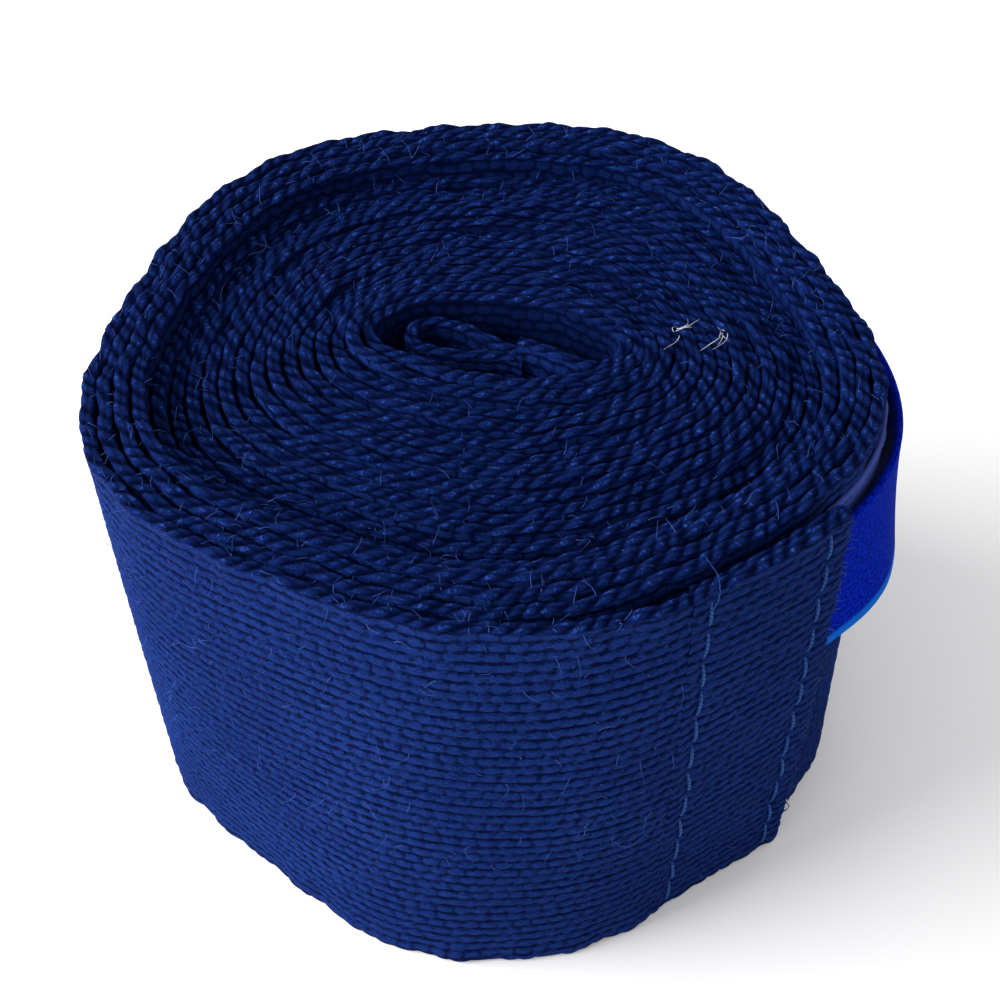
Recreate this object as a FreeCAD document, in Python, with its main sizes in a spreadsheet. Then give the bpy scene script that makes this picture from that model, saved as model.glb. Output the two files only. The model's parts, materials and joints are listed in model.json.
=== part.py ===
"""Rolled hand wrap standing on its edge: one long cotton band wound round a thumb loop.

Millimetres, +Z up, standing on z = 0, +X right, -Y towards the hem side of the roll.
Angles on the roll are seen from above, anticlockwise from +X, the way the band winds outwards.
"""
import FreeCAD, Part
import math
import os
import Sketcher
from FreeCAD import Placement, Rotation, Vector

doc = FreeCAD.newDocument("hand_wrap")

# ---------------------------------------------------------------- driving sizes
SIZES = (
    ("band_width", 50.0, "width of the woven band, the height of the roll"),
    ("band_thickness", 1.0, "thickness of one wound layer"),
    ("turn_room", 1.2, "least pitch of the turns, in band thicknesses"),
    ("roll_radius", 35.0, "mean radius of the outermost turn"),
    ("roll_shift", 1.0, "how far the outer turns lean to the back"),
    ("roll_oval", 0.55, "two-sided flattening of the outer turns"),
    ("roll_slump", 0.75, "three-sided slump of the outer turns"),
    ("roll_corners", 0.95, "five soft corners left by the winding hand"),
    ("core_x", 1.4, "centre of the innermost turn"),
    ("core_y", 2.75, "centre of the innermost turn"),
    ("core_half_length", 11.4, "innermost turn, half its long axis"),
    ("core_half_depth", 5.0, "innermost turn, half its short axis"),
    ("core_tilt", -12.0, "lean of the innermost turn, degrees"),
    ("pack_drop", 2.0, "how much lower the tight inner turns stand"),
    ("slack_turns", 3, "turns outside the tight inner pack"),
    ("crease_width", 0.3, "crease between two tight turns, at the top and bottom edges"),
    ("crease_depth", 1.2, "depth of that crease"),
    ("core_turns", 1.0, "turns that wrap the void at the core"),
    ("leaf_start", 170.0, "where the loose outer turn begins to lift, degrees"),
    ("leaf_span", 52.0, "angle between two unrolling lines, degrees"),
    ("hem_angle", 323.5, "where the band ends, degrees"),
    ("hem_depth", 12.5, "distance between the two stitch rows"),
    ("hem_margin", 2.2, "fabric beyond each stitch row"),
    ("hem_thickness", 0.8, "pressed thickness of the folded-under flap"),
    ("tape_thickness", 0.7, "thickness of the hook tape"),
    ("tape_width", 16.0, "height of the hook tape"),
    ("tape_drop", 4.0, "from the top edge of the band to the tape"),
    ("tape_bulge", 0.6, "how far the free tape stands off the roll"),
    ("tab_length", 40.0, "free length of the hook tape"),
    ("patch_thickness", 0.4, "thickness of the loop patch"),
    ("patch_border", 1.5, "loop patch beyond the hook tape all round"),
    ("running_gap", 0.35, "air between layers that move apart"),
    ("sewn_gap", 0.02, "air between layers that are sewn together"),
    ("fold_gap", 0.6, "width of the slot at each bending line"),
    ("stitch_pitch", 4.0, "length of one stitch"),
    ("stitch_count", 12, "stitches in a full-height row"),
    ("stitch_radius", 0.34, "thread radius at the middle of a stitch"),
    ("thread_radius", 0.16, "thread radius between two stitches"),
    ("loop_joint_x", 2.8, "where the thumb loop meets the band"),
    ("loop_joint_y", 1.6, "where the thumb loop meets the band"),
    ("loop_direction", 157.4, "the way the thumb loop points, degrees"),
    ("loop_reach", 8.3, "from its joint to the centre of its round end"),
    ("loop_half_width", 1.95, "radius of the round end, on the middle of the fabric"),
    ("loop_drop", 0.8, "thumb loop below the top edge of the inner pack"),
    ("loop_height", 40.0, "height of the thumb loop"),
)

sheet = doc.addObject("Spreadsheet::Sheet", "Sizes")
for row, (alias, value, meaning) in enumerate(SIZES, start=1):
    sheet.set("A%d" % row, meaning)
    sheet.set("B%d" % row, str(value))
    sheet.setAlias("B%d" % row, alias)
doc.recompute()


def size(alias):
    """A driving size, read from the sheet."""
    return float(sheet.get(alias))


BAND = size("band_thickness")
CREASE = size("crease_width")
STEP_ANGLE = 12.0           # degrees between two points of a wound outline
EDGE_POINTS = 12            # points of an outline that share one edge
TURN = 360.0
FULL_TURNS = math.floor((size("roll_radius") - size("core_half_length") - size("core_x"))
                        / (size("turn_room") * BAND)) - 1
PACK_TURNS = FULL_TURNS - size("slack_turns")
END_TURN = FULL_TURNS + size("hem_angle") / TURN
NODES = []


# ---------------------------------------------------------------- the wound path
def polar(radius, angle):
    """A point at this radius and angle in degrees."""
    return Vector(radius * math.cos(math.radians(angle)), radius * math.sin(math.radians(angle)), 0)


def smooth(value):
    """0 to 1 with soft ends."""
    value = min(max(value, 0.0), 1.0)
    return value * value * (3.0 - 2.0 * value)


def outer_outline(angle):
    """Middle of the outermost turn: a circle pushed out of round by the winding hand."""
    radius = size("roll_radius") - BAND / 2
    radius += size("roll_shift") * math.cos(math.radians(angle - 93))
    radius += size("roll_oval") * math.cos(math.radians(2 * (angle + 20)))
    radius += size("roll_slump") * math.cos(math.radians(3 * (angle + 33)))
    radius += size("roll_corners") * math.cos(math.radians(5 * (angle + 16)))
    return polar(radius, angle)


def inner_outline(angle):
    """Middle of the innermost turn: a leaning oval round the thumb loop."""
    turn = math.radians(angle)
    flat = Vector(size("core_half_length") * math.cos(turn), size("core_half_depth") * math.sin(turn), 0)
    leaning = Rotation(Vector(0, 0, 1), size("core_tilt")).multVec(flat)
    return leaning + Vector(size("core_x"), size("core_y"), 0)


def wound(turns):
    """Middle of the band after this many turns from the core."""
    angle = TURN * turns
    outwards = turns / END_TURN
    return inner_outline(angle) * (1 - outwards) + outer_outline(angle) * outwards


def outward(turns):
    """Unit vector out of the roll, square to the band."""
    small = 0.002
    along = wound(turns + small) - wound(turns - small)
    return Vector(along.y, -along.x, 0).normalize()


def at_angle(angle, last_turn=True):
    """Turns at this angle; past the hem the turn below is the outermost one."""
    return FULL_TURNS - (0 if last_turn else 1) + angle / TURN


def degrees_along(length, turns):
    """Angle taken up by a length of fabric on the roll."""
    return math.degrees(length / wound(turns).Length)


# stack heights above the middle of the turn below
ROOT_TAPE = BAND / 2 + size("running_gap") + size("tape_thickness") / 2
HEM_FLAP = ROOT_TAPE + size("tape_thickness") / 2 + size("sewn_gap") + size("hem_thickness") / 2
HEM_BAND = HEM_FLAP + size("hem_thickness") / 2 + size("sewn_gap") + BAND / 2
PATCH = BAND / 2 + size("sewn_gap") + size("patch_thickness") / 2
FREE_TAPE = PATCH + size("patch_thickness") / 2 + size("running_gap") + size("tape_thickness") / 2

HEM_SPAN = degrees_along(size("hem_depth") + 2 * size("hem_margin"), END_TURN)
MARGIN_SPAN = degrees_along(size("hem_margin"), END_TURN)
HEM_START = size("hem_angle") - HEM_SPAN
TAB_SPAN = degrees_along(size("tab_length"), END_TURN)
BORDER_SPAN = degrees_along(size("patch_border"), END_TURN)
GAP_SPAN = degrees_along(size("fold_gap"), END_TURN)
LEAVES = [size("leaf_start") + i * size("leaf_span") for i in range(3)] + [size("hem_angle")]
TABS = [size("hem_angle") + i * TAB_SPAN / 3 for i in range(4)]


def above(turns, height):
    """A point this far above the middle of the band, square to it."""
    return wound(turns) + outward(turns) * height


def last_turn_point(angle):
    """Middle of the outermost turn, which climbs over the hem's flap and tape."""
    climb = smooth((angle - (HEM_START - HEM_SPAN)) / HEM_SPAN)
    free = wound(at_angle(angle))
    lifted = above(at_angle(angle, last_turn=False), HEM_BAND)
    return free * (1 - climb) + lifted * climb


def tape_point(angle):
    """Middle of the hook tape, sewn under the hem and free beyond it."""
    below = at_angle(angle, last_turn=False)
    free = (angle - size("hem_angle")) / TAB_SPAN
    height = ROOT_TAPE + (FREE_TAPE - ROOT_TAPE) * smooth(free * 6 + 1)
    height += size("tape_bulge") * math.sin(math.pi * min(max(free, 0.0), 1.0))
    return above(below, height)


def outline_extent():
    """Low and high corner of everything on the outside of the roll, seen from above."""
    points = []
    for angle in range(0, int(TURN)):
        points.append(above(at_angle(angle, last_turn=angle < size("leaf_start")), BAND / 2))
    for angle in range(int(size("leaf_start")), int(size("hem_angle")) + 1):
        middle = last_turn_point(angle)
        points.append(middle + (last_turn_point(angle + 0.5) - last_turn_point(angle - 0.5)).cross(
            Vector(0, 0, 1)).normalize() * BAND / 2)
    for angle in range(int(TABS[0]) + 1, int(TABS[-1])):
        middle = tape_point(angle)
        points.append(middle + (tape_point(angle + 0.5) - tape_point(angle - 0.5)).cross(
            Vector(0, 0, 1)).normalize() * size("tape_thickness") / 2)
    low = Vector(min(p.x for p in points), min(p.y for p in points), 0)
    high = Vector(max(p.x for p in points), max(p.y for p in points), 0)
    return low, high


LOW, HIGH = outline_extent()
CENTRE = (LOW + HIGH) * -0.5        # moves the middle of the roll's outline to the origin


# ---------------------------------------------------------------- building helpers
def steps_of(start, end, count):
    """Values from start to end in this many equal steps."""
    return [start + (end - start) * i / count for i in range(count + 1)]


def steps(start, end, width):
    """Evenly spaced values from start to end, no further apart than width."""
    return steps_of(start, end, max(4, int(math.ceil(abs(end - start) / width))))


def offset(points, distance):
    """The same path moved sideways, to the right of the way it runs."""
    moved = []
    for i, point in enumerate(points):
        along = points[min(i + 1, len(points) - 1)] - points[max(i - 1, 0)]
        moved.append(point + Vector(along.y, -along.x, 0).normalize() * distance)
    return moved


def strip_face(points, thickness):
    """Flat face of a strip that follows a path, its long sides cut into short edges."""
    pieces = max(1, len(points) // EDGE_POINTS)
    edges, ends = [], []
    for side in (1, -1):
        curve = Part.BSplineCurve()
        curve.interpolate(offset(points, side * thickness / 2))
        cuts = steps_of(curve.FirstParameter, curve.LastParameter, pieces)
        edges += [curve.toShape(low, high) for low, high in zip(cuts[:-1], cuts[1:])]
        ends.append((curve.value(cuts[0]), curve.value(cuts[-1])))
    edges += [Part.makeLine(ends[0][i], ends[1][i]) for i in (0, 1)]
    return Part.Face(Part.Wire(Part.__sortEdges__(edges)))


def add_strip(name, points, thickness, height, foot="0"):
    """An upright strip: its plan is a face, its height and foot come from the sheet."""
    plan = doc.addObject("Part::Feature", name + "_plan")
    plan.Shape = strip_face(points, thickness)
    strip = doc.addObject("Part::Extrusion", name)
    strip.Label = name
    strip.Base = plan
    strip.DirMode = "Custom"
    strip.Dir = Vector(0, 0, 1)
    strip.Solid = True
    strip.setExpression("LengthFwd", height)
    strip.Placement = Placement(CENTRE, Rotation())
    strip.setExpression("Placement.Base.z", foot)
    NODES.append(strip)
    return strip


def last_turn(start, end):
    """Path of the outermost turn between two angles, less half a slot at each end."""
    angles = steps(start + GAP_SPAN / 2, end - GAP_SPAN / 2, STEP_ANGLE / 3)
    return [last_turn_point(angle) for angle in angles]


def tape_path(start, end):
    """Path of the hook tape between two angles, less half a slot at each end."""
    angles = steps(start + GAP_SPAN / 2, end - GAP_SPAN / 2, STEP_ANGLE / 3)
    return [tape_point(angle) for angle in angles]


def lying_on(start, end, height, last):
    """Path at one height above the turn below."""
    return [above(at_angle(angle, last_turn=last), height) for angle in steps(start, end, STEP_ANGLE / 3)]


def origin_plane(body, role):
    """One of the body's own origin planes."""
    return [item for item in body.Origin.OriginFeatures if item.Role == role][0]


def add_stitch_row(name, foot_point, count="Sizes.stitch_count", foot="Sizes.band_width / 2"):
    """A straight upright row of stitches: one swelling of thread, repeated up the row."""
    body = doc.addObject("PartDesign::Body", name)
    body.Label = name
    profile = body.newObject("Sketcher::SketchObject", name + "_profile")
    profile.AttachmentSupport = [(origin_plane(body, "XZ_Plane"), "")]
    profile.MapMode = "FlatFace"
    thin, thick, length = size("thread_radius"), size("stitch_radius"), size("stitch_pitch")
    corners = [Vector(0, 0, 0), Vector(thin, 0, 0), Vector(thick, length / 2, 0),
               Vector(thin, length, 0), Vector(0, length, 0)]
    bottom, flare, taper, head, axis = range(5)
    for side in (bottom, flare, taper, head, axis):
        profile.addGeometry(Part.LineSegment(corners[side], corners[(side + 1) % 5]), False)
    first, last, origin = 1, 2, -1
    profile.addConstraint(Sketcher.Constraint("Coincident", bottom, first, origin, 1))
    for side in (bottom, flare, taper, head, axis):
        profile.addConstraint(Sketcher.Constraint("Coincident", side, last, (side + 1) % 5, first))
    profile.addConstraint(Sketcher.Constraint("Horizontal", bottom))
    profile.addConstraint(Sketcher.Constraint("Horizontal", head))
    profile.addConstraint(Sketcher.Constraint("Vertical", axis))
    profile.addConstraint(Sketcher.Constraint("Equal", bottom, head))
    waist = profile.addConstraint(Sketcher.Constraint("DistanceX", bottom, first, bottom, last, thin))
    rise = profile.addConstraint(Sketcher.Constraint("DistanceY", axis, last, axis, first, length))
    belly = profile.addConstraint(Sketcher.Constraint("DistanceX", origin, 1, flare, last, thick))
    middle = profile.addConstraint(Sketcher.Constraint("DistanceY", origin, 1, flare, last, length / 2))
    profile.setExpression("Constraints[%d]" % waist, "Sizes.thread_radius")
    profile.setExpression("Constraints[%d]" % rise, "Sizes.stitch_pitch")
    profile.setExpression("Constraints[%d]" % belly, "Sizes.stitch_radius")
    profile.setExpression("Constraints[%d]" % middle, "Sizes.stitch_pitch / 2")
    stitch = body.newObject("PartDesign::Revolution", name + "_stitch")
    stitch.Profile = profile
    stitch.ReferenceAxis = (profile, ["V_Axis"])
    stitch.Angle = TURN
    profile.Visibility = False
    doc.recompute()
    row = body.newObject("PartDesign::LinearPattern", name + "_row")
    row.Originals = [stitch]
    row.Direction = (profile, ["V_Axis"])
    row.setExpression("Length", "Sizes.stitch_pitch * (%s - 1)" % count)
    row.setExpression("Occurrences", count)
    body.Tip = row
    body.Placement = Placement(foot_point + CENTRE, Rotation())
    body.setExpression("Placement.Base.z", "%s - Sizes.stitch_pitch * %s / 2" % (foot, count))
    NODES.append(body)
    return body


def add_curved_stitch_row(name, start, end, height):
    """Stitches that follow the roll, level, along one edge of the loop patch."""
    base = PATCH + size("patch_thickness") / 2 + size("sewn_gap") + size("thread_radius")
    base += size("stitch_pitch") ** 2 / (8 * size("roll_radius"))       # a straight stitch on a round patch
    span = degrees_along(size("stitch_pitch"), END_TURN)
    stitches = []
    for i in range(int((end - start) / span)):
        ends = [above(at_angle(start + span * (i + part), last_turn=False), base) for part in (0.1, 0.9)]
        along = ends[1] - ends[0]
        stitches.append(Part.makeCylinder(size("thread_radius"), along.Length, ends[0], along))
    row = doc.addObject("Part::Feature", name)
    row.Label = name
    row.Shape = Part.makeCompound(stitches)
    row.Placement = Placement(CENTRE + Vector(0, 0, height), Rotation())
    NODES.append(row)
    return row


def stepped_loop(start, offset_out):
    """One turn of the spiral's edge, closed by the step up to where the next turn begins."""
    turns = steps(start, start + 1, STEP_ANGLE / TURN)
    points = [above(turn, offset_out) for turn in turns]
    curve = Part.BSplineCurve()
    curve.interpolate(points)
    cuts = steps_of(curve.FirstParameter, curve.LastParameter, len(points) // EDGE_POINTS)
    edges = [curve.toShape(low, high) for low, high in zip(cuts[:-1], cuts[1:])]
    return Part.Wire(edges + [Part.makeLine(points[-1], points[0])])


def add_tight_turns(name, start, end):
    """Turns wound so tight that they touch: one solid, with a spiral crease between turns at both ends."""
    plan = doc.addObject("Part::Feature", name + "_plan")
    edge = BAND / 2
    plan.Shape = Part.makeFace([stepped_loop(end - 1, edge), stepped_loop(start, -edge)],
                               "Part::FaceMakerBullseye")
    block = doc.addObject("Part::Extrusion", name + "_block")
    block.Base = plan
    block.DirMode = "Custom"
    block.Dir = Vector(0, 0, 1)
    block.Solid = True
    block.setExpression("LengthFwd", PACK_HEIGHT)
    path = [(wound(turn) + wound(turn + 1)) * 0.5 for turn in steps(start, end - 1, STEP_ANGLE / TURN)]
    crease_plan = doc.addObject("Part::Feature", name + "_crease_plan")
    crease_plan.Shape = strip_face(path, CREASE)
    creases = []
    for side, foot in (("top", PACK_HEIGHT + " - Sizes.crease_depth"), ("bottom", "-Sizes.crease_depth")):
        crease = doc.addObject("Part::Extrusion", name + "_crease_" + side)
        crease.Base = crease_plan
        crease.DirMode = "Custom"
        crease.Dir = Vector(0, 0, 1)
        crease.Solid = True
        crease.setExpression("LengthFwd", "2 * Sizes.crease_depth")
        crease.setExpression("Placement.Base.z", foot)
        creases.append(crease)
    both = doc.addObject("Part::Compound", name + "_creases")
    both.Links = creases
    turns = doc.addObject("Part::Cut", name)
    turns.Label = name
    turns.Base = block
    turns.Tool = both
    turns.Placement = Placement(CENTRE, Rotation())
    NODES.append(turns)
    return turns


# ---------------------------------------------------------------- the wound band
LOOP_JOINT = Vector(size("loop_joint_x"), size("loop_joint_y"), 0)
LOOP_AXIS = polar(1, size("loop_direction"))
JOIN_TURN = -0.04           # where the band's inner end has become part of the spiral


def inner_end():
    """The band's inner end: from the thumb loop's joint it runs out and turns into the spiral."""
    start = LOOP_JOINT - LOOP_AXIS * size("fold_gap") / 2
    finish = wound(JOIN_TURN)
    along = (wound(JOIN_TURN + 0.01) - finish).normalize()
    reach = (finish - start).Length * 0.42
    controls = (start, start - LOOP_AXIS * reach, finish - along * reach, finish)
    points = []
    for t in steps(0, 1, 0.125)[:-1]:
        weights = ((1 - t) ** 3, 3 * t * (1 - t) ** 2, 3 * t * t * (1 - t), t ** 3)
        total = Vector(0, 0, 0)
        for weight, control in zip(weights, controls):
            total += control * weight
        points.append(total)
    return points


def spiral(start, end):
    """Path of the wound band between two numbers of turns."""
    return [wound(turns) for turns in steps(start, end, STEP_ANGLE / TURN)]


PACK_HEIGHT = "Sizes.band_width - Sizes.pack_drop"
add_strip("band_core_turn", inner_end() + spiral(JOIN_TURN, size("core_turns")),
          BAND, PACK_HEIGHT)
add_tight_turns("band_inner_turns", size("core_turns"), PACK_TURNS)
LEAF_ROOT = at_angle(size("leaf_start") - GAP_SPAN / 2)
add_strip("band_outer_turns", spiral(PACK_TURNS, LEAF_ROOT),
          BAND, "Sizes.band_width")

# the loose outer turn, in the lengths it unrolls by
LEAF_NAMES = ("band_leaf_left", "band_leaf_front", "band_leaf_end")
for name, start, end in zip(LEAF_NAMES, LEAVES[:-1], LEAVES[1:]):
    add_strip(name, last_turn(start, end), BAND, "Sizes.band_width")


# ---------------------------------------------------------------- hem and closure
add_strip("hem_fold", lying_on(HEM_START, size("hem_angle") - GAP_SPAN / 2, HEM_FLAP, False),
          size("hem_thickness"), "Sizes.band_width - Sizes.hem_thickness", "Sizes.hem_thickness / 2")

TAPE_FOOT = "Sizes.band_width - Sizes.tape_drop - Sizes.tape_width"
add_strip("hook_tape_root", lying_on(HEM_START, size("hem_angle") - GAP_SPAN / 2, ROOT_TAPE, False),
          size("tape_thickness"), "Sizes.tape_width", TAPE_FOOT)
TAB_NAMES = ("hook_tape_near", "hook_tape_middle", "hook_tape_tip")
for name, start, end in zip(TAB_NAMES, TABS[:-1], TABS[1:]):
    add_strip(name, tape_path(start, end), size("tape_thickness"), "Sizes.tape_width", TAPE_FOOT)

PATCH_START = size("hem_angle") + GAP_SPAN
PATCH_END = TABS[-1] + 2 * BORDER_SPAN
add_strip("loop_patch", lying_on(PATCH_START, PATCH_END, PATCH, False), size("patch_thickness"),
          "Sizes.tape_width + 2 * Sizes.patch_border", TAPE_FOOT + " - Sizes.patch_border")


# ---------------------------------------------------------------- threads
ON_BAND = BAND / 2 + size("sewn_gap") + size("stitch_radius")
ROW_ANGLES = (HEM_START + MARGIN_SPAN, size("hem_angle") - MARGIN_SPAN)
for name, angle in zip(("hem_stitch_inner", "hem_stitch_outer"), ROW_ANGLES):
    add_stitch_row(name, above(at_angle(angle, last_turn=False), HEM_BAND + ON_BAND))

ON_PATCH = PATCH + size("patch_thickness") / 2 + size("sewn_gap") + size("stitch_radius")
TAPE_MIDDLE = "Sizes.band_width - Sizes.tape_drop - Sizes.tape_width / 2"
add_stitch_row("patch_stitch_end",
               above(at_angle(PATCH_END - BORDER_SPAN / 2, last_turn=False), ON_PATCH),
               "floor(Sizes.tape_width / Sizes.stitch_pitch)", TAPE_MIDDLE)
TAPE_TOP = size("band_width") - size("tape_drop")
for name, height in (("patch_stitch_top", TAPE_TOP + size("patch_border") / 2),
                     ("patch_stitch_bottom", TAPE_TOP - size("tape_width") - size("patch_border") / 2)):
    add_curved_stitch_row(name, PATCH_START + BORDER_SPAN / 2, PATCH_END - BORDER_SPAN, height)


# ---------------------------------------------------------------- thumb loop in the core
def loop_path():
    """Middle of the thumb loop's fabric: out along one arm, round the end, back along the other."""
    square = Vector(-LOOP_AXIS.y, LOOP_AXIS.x, 0)
    closed = BAND / 2 + size("sewn_gap")
    reach, wide = size("loop_reach"), size("loop_half_width")
    arm = []
    for along in steps(size("fold_gap") / 2, reach, reach / 9)[:-1]:
        half = closed + (wide - closed) * smooth(along / (0.8 * reach))
        arm.append((along, half))
    points = [LOOP_JOINT + LOOP_AXIS * along - square * half for along, half in arm]
    centre = LOOP_JOINT + LOOP_AXIS * reach
    for turn in steps(-90, 90, 20):
        points.append(centre + (LOOP_AXIS * math.cos(math.radians(turn))
                                + square * math.sin(math.radians(turn))) * wide)
    points += [LOOP_JOINT + LOOP_AXIS * along + square * half for along, half in reversed(arm)]
    return points


LOOP_FOOT = "Sizes.band_width - Sizes.pack_drop - Sizes.loop_drop - Sizes.loop_height"
add_strip("thumb_loop", loop_path(), BAND, "Sizes.loop_height", LOOP_FOOT)
TACK_POINT = (LOOP_JOINT - LOOP_AXIS * (size("fold_gap") + size("stitch_radius"))
              + Vector(-LOOP_AXIS.y, LOOP_AXIS.x, 0) * -ON_BAND)
add_stitch_row("thumb_loop_tack", TACK_POINT, "floor(Sizes.loop_height / Sizes.stitch_pitch)",
               "Sizes.band_width - Sizes.pack_drop - Sizes.loop_drop - Sizes.loop_height / 2")


# ---------------------------------------------------------------- check and write
doc.recompute()
for item in doc.Objects:
    if "Invalid" in item.State or "Error" in item.State:
        raise RuntimeError("%s did not build: %s" % (item.Name, item.State))
for node in NODES:
    if node.Shape.isNull() or not node.Shape.isValid() or node.Shape.Volume <= 0:
        raise RuntimeError("%s has no sound solid" % node.Label)

os.makedirs("parts", exist_ok=True)
for node in NODES:
    node.Shape.exportStep("parts/%s.step" % node.Label)
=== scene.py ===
"""Rolled hand wrap: a woven cotton band wound on its thumb loop and shut by a hook tape tab."""
import json
import math

import bmesh
import bpy
import numpy as np
from bpy.props import FloatProperty, FloatVectorProperty, IntProperty, PointerProperty
from mathutils import Matrix, Vector


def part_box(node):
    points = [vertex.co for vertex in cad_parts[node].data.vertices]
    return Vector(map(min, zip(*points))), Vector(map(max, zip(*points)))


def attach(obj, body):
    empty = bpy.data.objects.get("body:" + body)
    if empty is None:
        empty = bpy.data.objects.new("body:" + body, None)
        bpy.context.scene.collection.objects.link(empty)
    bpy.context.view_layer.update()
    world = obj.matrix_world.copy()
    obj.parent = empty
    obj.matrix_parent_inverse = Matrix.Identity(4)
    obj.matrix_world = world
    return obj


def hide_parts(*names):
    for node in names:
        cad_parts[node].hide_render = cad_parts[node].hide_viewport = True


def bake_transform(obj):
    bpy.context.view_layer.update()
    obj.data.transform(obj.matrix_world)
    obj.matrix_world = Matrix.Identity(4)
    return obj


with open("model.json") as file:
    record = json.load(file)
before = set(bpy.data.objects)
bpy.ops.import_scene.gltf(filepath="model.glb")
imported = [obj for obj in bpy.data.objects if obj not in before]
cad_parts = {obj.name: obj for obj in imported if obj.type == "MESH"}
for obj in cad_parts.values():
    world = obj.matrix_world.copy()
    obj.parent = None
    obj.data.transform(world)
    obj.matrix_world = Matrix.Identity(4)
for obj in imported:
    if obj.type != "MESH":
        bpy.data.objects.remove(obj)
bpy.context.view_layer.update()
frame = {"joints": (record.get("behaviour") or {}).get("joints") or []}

bl_info = {
    "name": "Rolled Hand Wrap",
    "version": (1, 0, 0),
    "blender": (4, 5, 0),
    "location": "3D View > Sidebar > Hand Wrap",
    "description": "Builds a rolled cotton hand wrap over its CAD frame",
    "category": "Object",
}

MM = 0.001
TURN = 360.0
LOOP_JOINT = (2.8 * MM, 1.6 * MM)       # thumb loop's joint, from the winding's own centre
LOOP_DIRECTION = 157.4                  # the way the thumb loop points from its joint, degrees
FOOT_SHIFTS = ((216.0, 19.0, -2.0 * MM), (250.0, 15.0, 0.9 * MM), (308.0, 25.0, -3.0 * MM))
LOOP_REACH = 8.3 * MM                   # from the thumb loop's root to the middle of its bend
LOOP_HALF_WIDTH = 1.95 * MM             # half the width of the thumb loop's bend
LOOP_TAIL = 1.0 * MM                    # how far its arms run back past its joint
LOOP_SLACK = 0.02 * MM                  # half the space between its arms at the root
FINE_ROWS = 60                          # a face with this many rows shows its yarns in the mesh
FLARE_POWER = 1.6                       # how a shift of the foot dies out up the band


# ---------------------------------------------------------------- sizes a user would change
def length(name, default, description):
    """A length property, in metres."""
    return FloatProperty(name=name, default=default, description=description, unit="LENGTH", precision=5)


def angle(name, default, description):
    """An angle property, in radians, given here in degrees."""
    return FloatProperty(name=name, default=math.radians(default), description=description,
                         unit="ROTATION")


def number(name, default, description):
    """A plain number property."""
    return FloatProperty(name=name, default=default, description=description)


def colour(name, default, description):
    """A linear colour property."""
    return FloatVectorProperty(name=name, default=default, description=description,
                               subtype="COLOR", size=3, min=0, max=1)


class RollShape(bpy.types.PropertyGroup):
    """How the band lies in the roll."""
    full_turns: IntProperty(name="Full turns", default=17, description="Whole turns before the last")
    radius: length("Radius", 35.0 * MM, "Mean radius of the outermost turn")
    shift: length("Shift", 1.0 * MM, "How far the outer turns lean to the back")
    oval: length("Oval", 0.55 * MM, "Two-sided flattening of the outer turns")
    slump: length("Slump", 0.75 * MM, "Three-sided slump of the outer turns")
    corners: length("Corners", 0.95 * MM, "Five soft corners left by the winding hand")
    core_x: length("Core X", 1.4 * MM, "Middle of the innermost turn")
    core_y: length("Core Y", 2.75 * MM, "Middle of the innermost turn")
    core_long: length("Core half length", 11.4 * MM, "Half the long axis of the innermost turn")
    core_short: length("Core half depth", 5.0 * MM, "Half the short axis of the innermost turn")
    core_tilt: angle("Core tilt", -12, "Lean of the innermost turn")
    pack_turns: number("Pack turns", 14.0, "Turns that belong to the tight inner pack")
    hem_angle: angle("Hem angle", 323.5, "Where the band ends")
    leaf_start: angle("Leaf start", 170, "Where the loose outer turn begins")
    leaf_span: angle("Leaf span", 52, "Angle between two unrolling lines")


class BandSizes(bpy.types.PropertyGroup):
    """The woven band and its edges."""
    thickness: length("Thickness", 1.0 * MM, "Thickness of one layer")
    loop_pitch: length("Edge loop pitch", 1.9 * MM, "Length of one weft loop along the woven edge")
    loop_height: length("Edge loop height", 0.55 * MM, "How far each weft loop stands up")
    loop_fullness: number("Edge fullness", 1.22, "Thickness of the woven edge against the band's")
    scallop_pitch: length("Scallop pitch", 5.2 * MM, "Length of one wave of the slack outer edge")
    scallop_depth: length("Scallop depth", 0.22 * MM, "Depth of the waves of the slack outer edge")
    rib_pitch: length("Rib pitch", 1.25 * MM, "Distance between two yarn ribs across the band")
    rib_height: length("Rib height", 0.28 * MM, "How far a yarn stands above the gap beside it")
    float_pitch: length("Float pitch", 1.6 * MM, "Distance between two knuckles along a yarn")


class ClosureSizes(bpy.types.PropertyGroup):
    """Hem, hook tape and loop patch."""
    hem_depth: length("Hem depth", 12.5 * MM, "Distance between the two stitch rows")
    hem_margin: length("Hem margin", 2.2 * MM, "Fabric beyond each stitch row")
    hem_thickness: length("Hem thickness", 0.8 * MM, "Pressed thickness of the folded flap")
    tape_thickness: length("Tape thickness", 0.7 * MM, "Thickness of the hook tape")
    tape_bulge: length("Tape bulge", 0.6 * MM, "How far the free tape stands off the roll")
    tab_length: length("Tab length", 40 * MM, "Free length of the hook tape")
    patch_thickness: length("Patch thickness", 0.4 * MM, "Thickness of the loop patch")
    patch_border: length("Patch border", 1.5 * MM, "Loop patch beyond the tape")
    running_gap: length("Running gap", 0.35 * MM, "Air between layers that move apart")
    sewn_gap: length("Sewn gap", 0.02 * MM, "Air between layers that are sewn together")
    stitch_pitch: length("Stitch pitch", 4 * MM, "Length of one stitch")
    thread_radius: length("Thread radius", 0.16 * MM, "Radius of the sewing thread")


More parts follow.
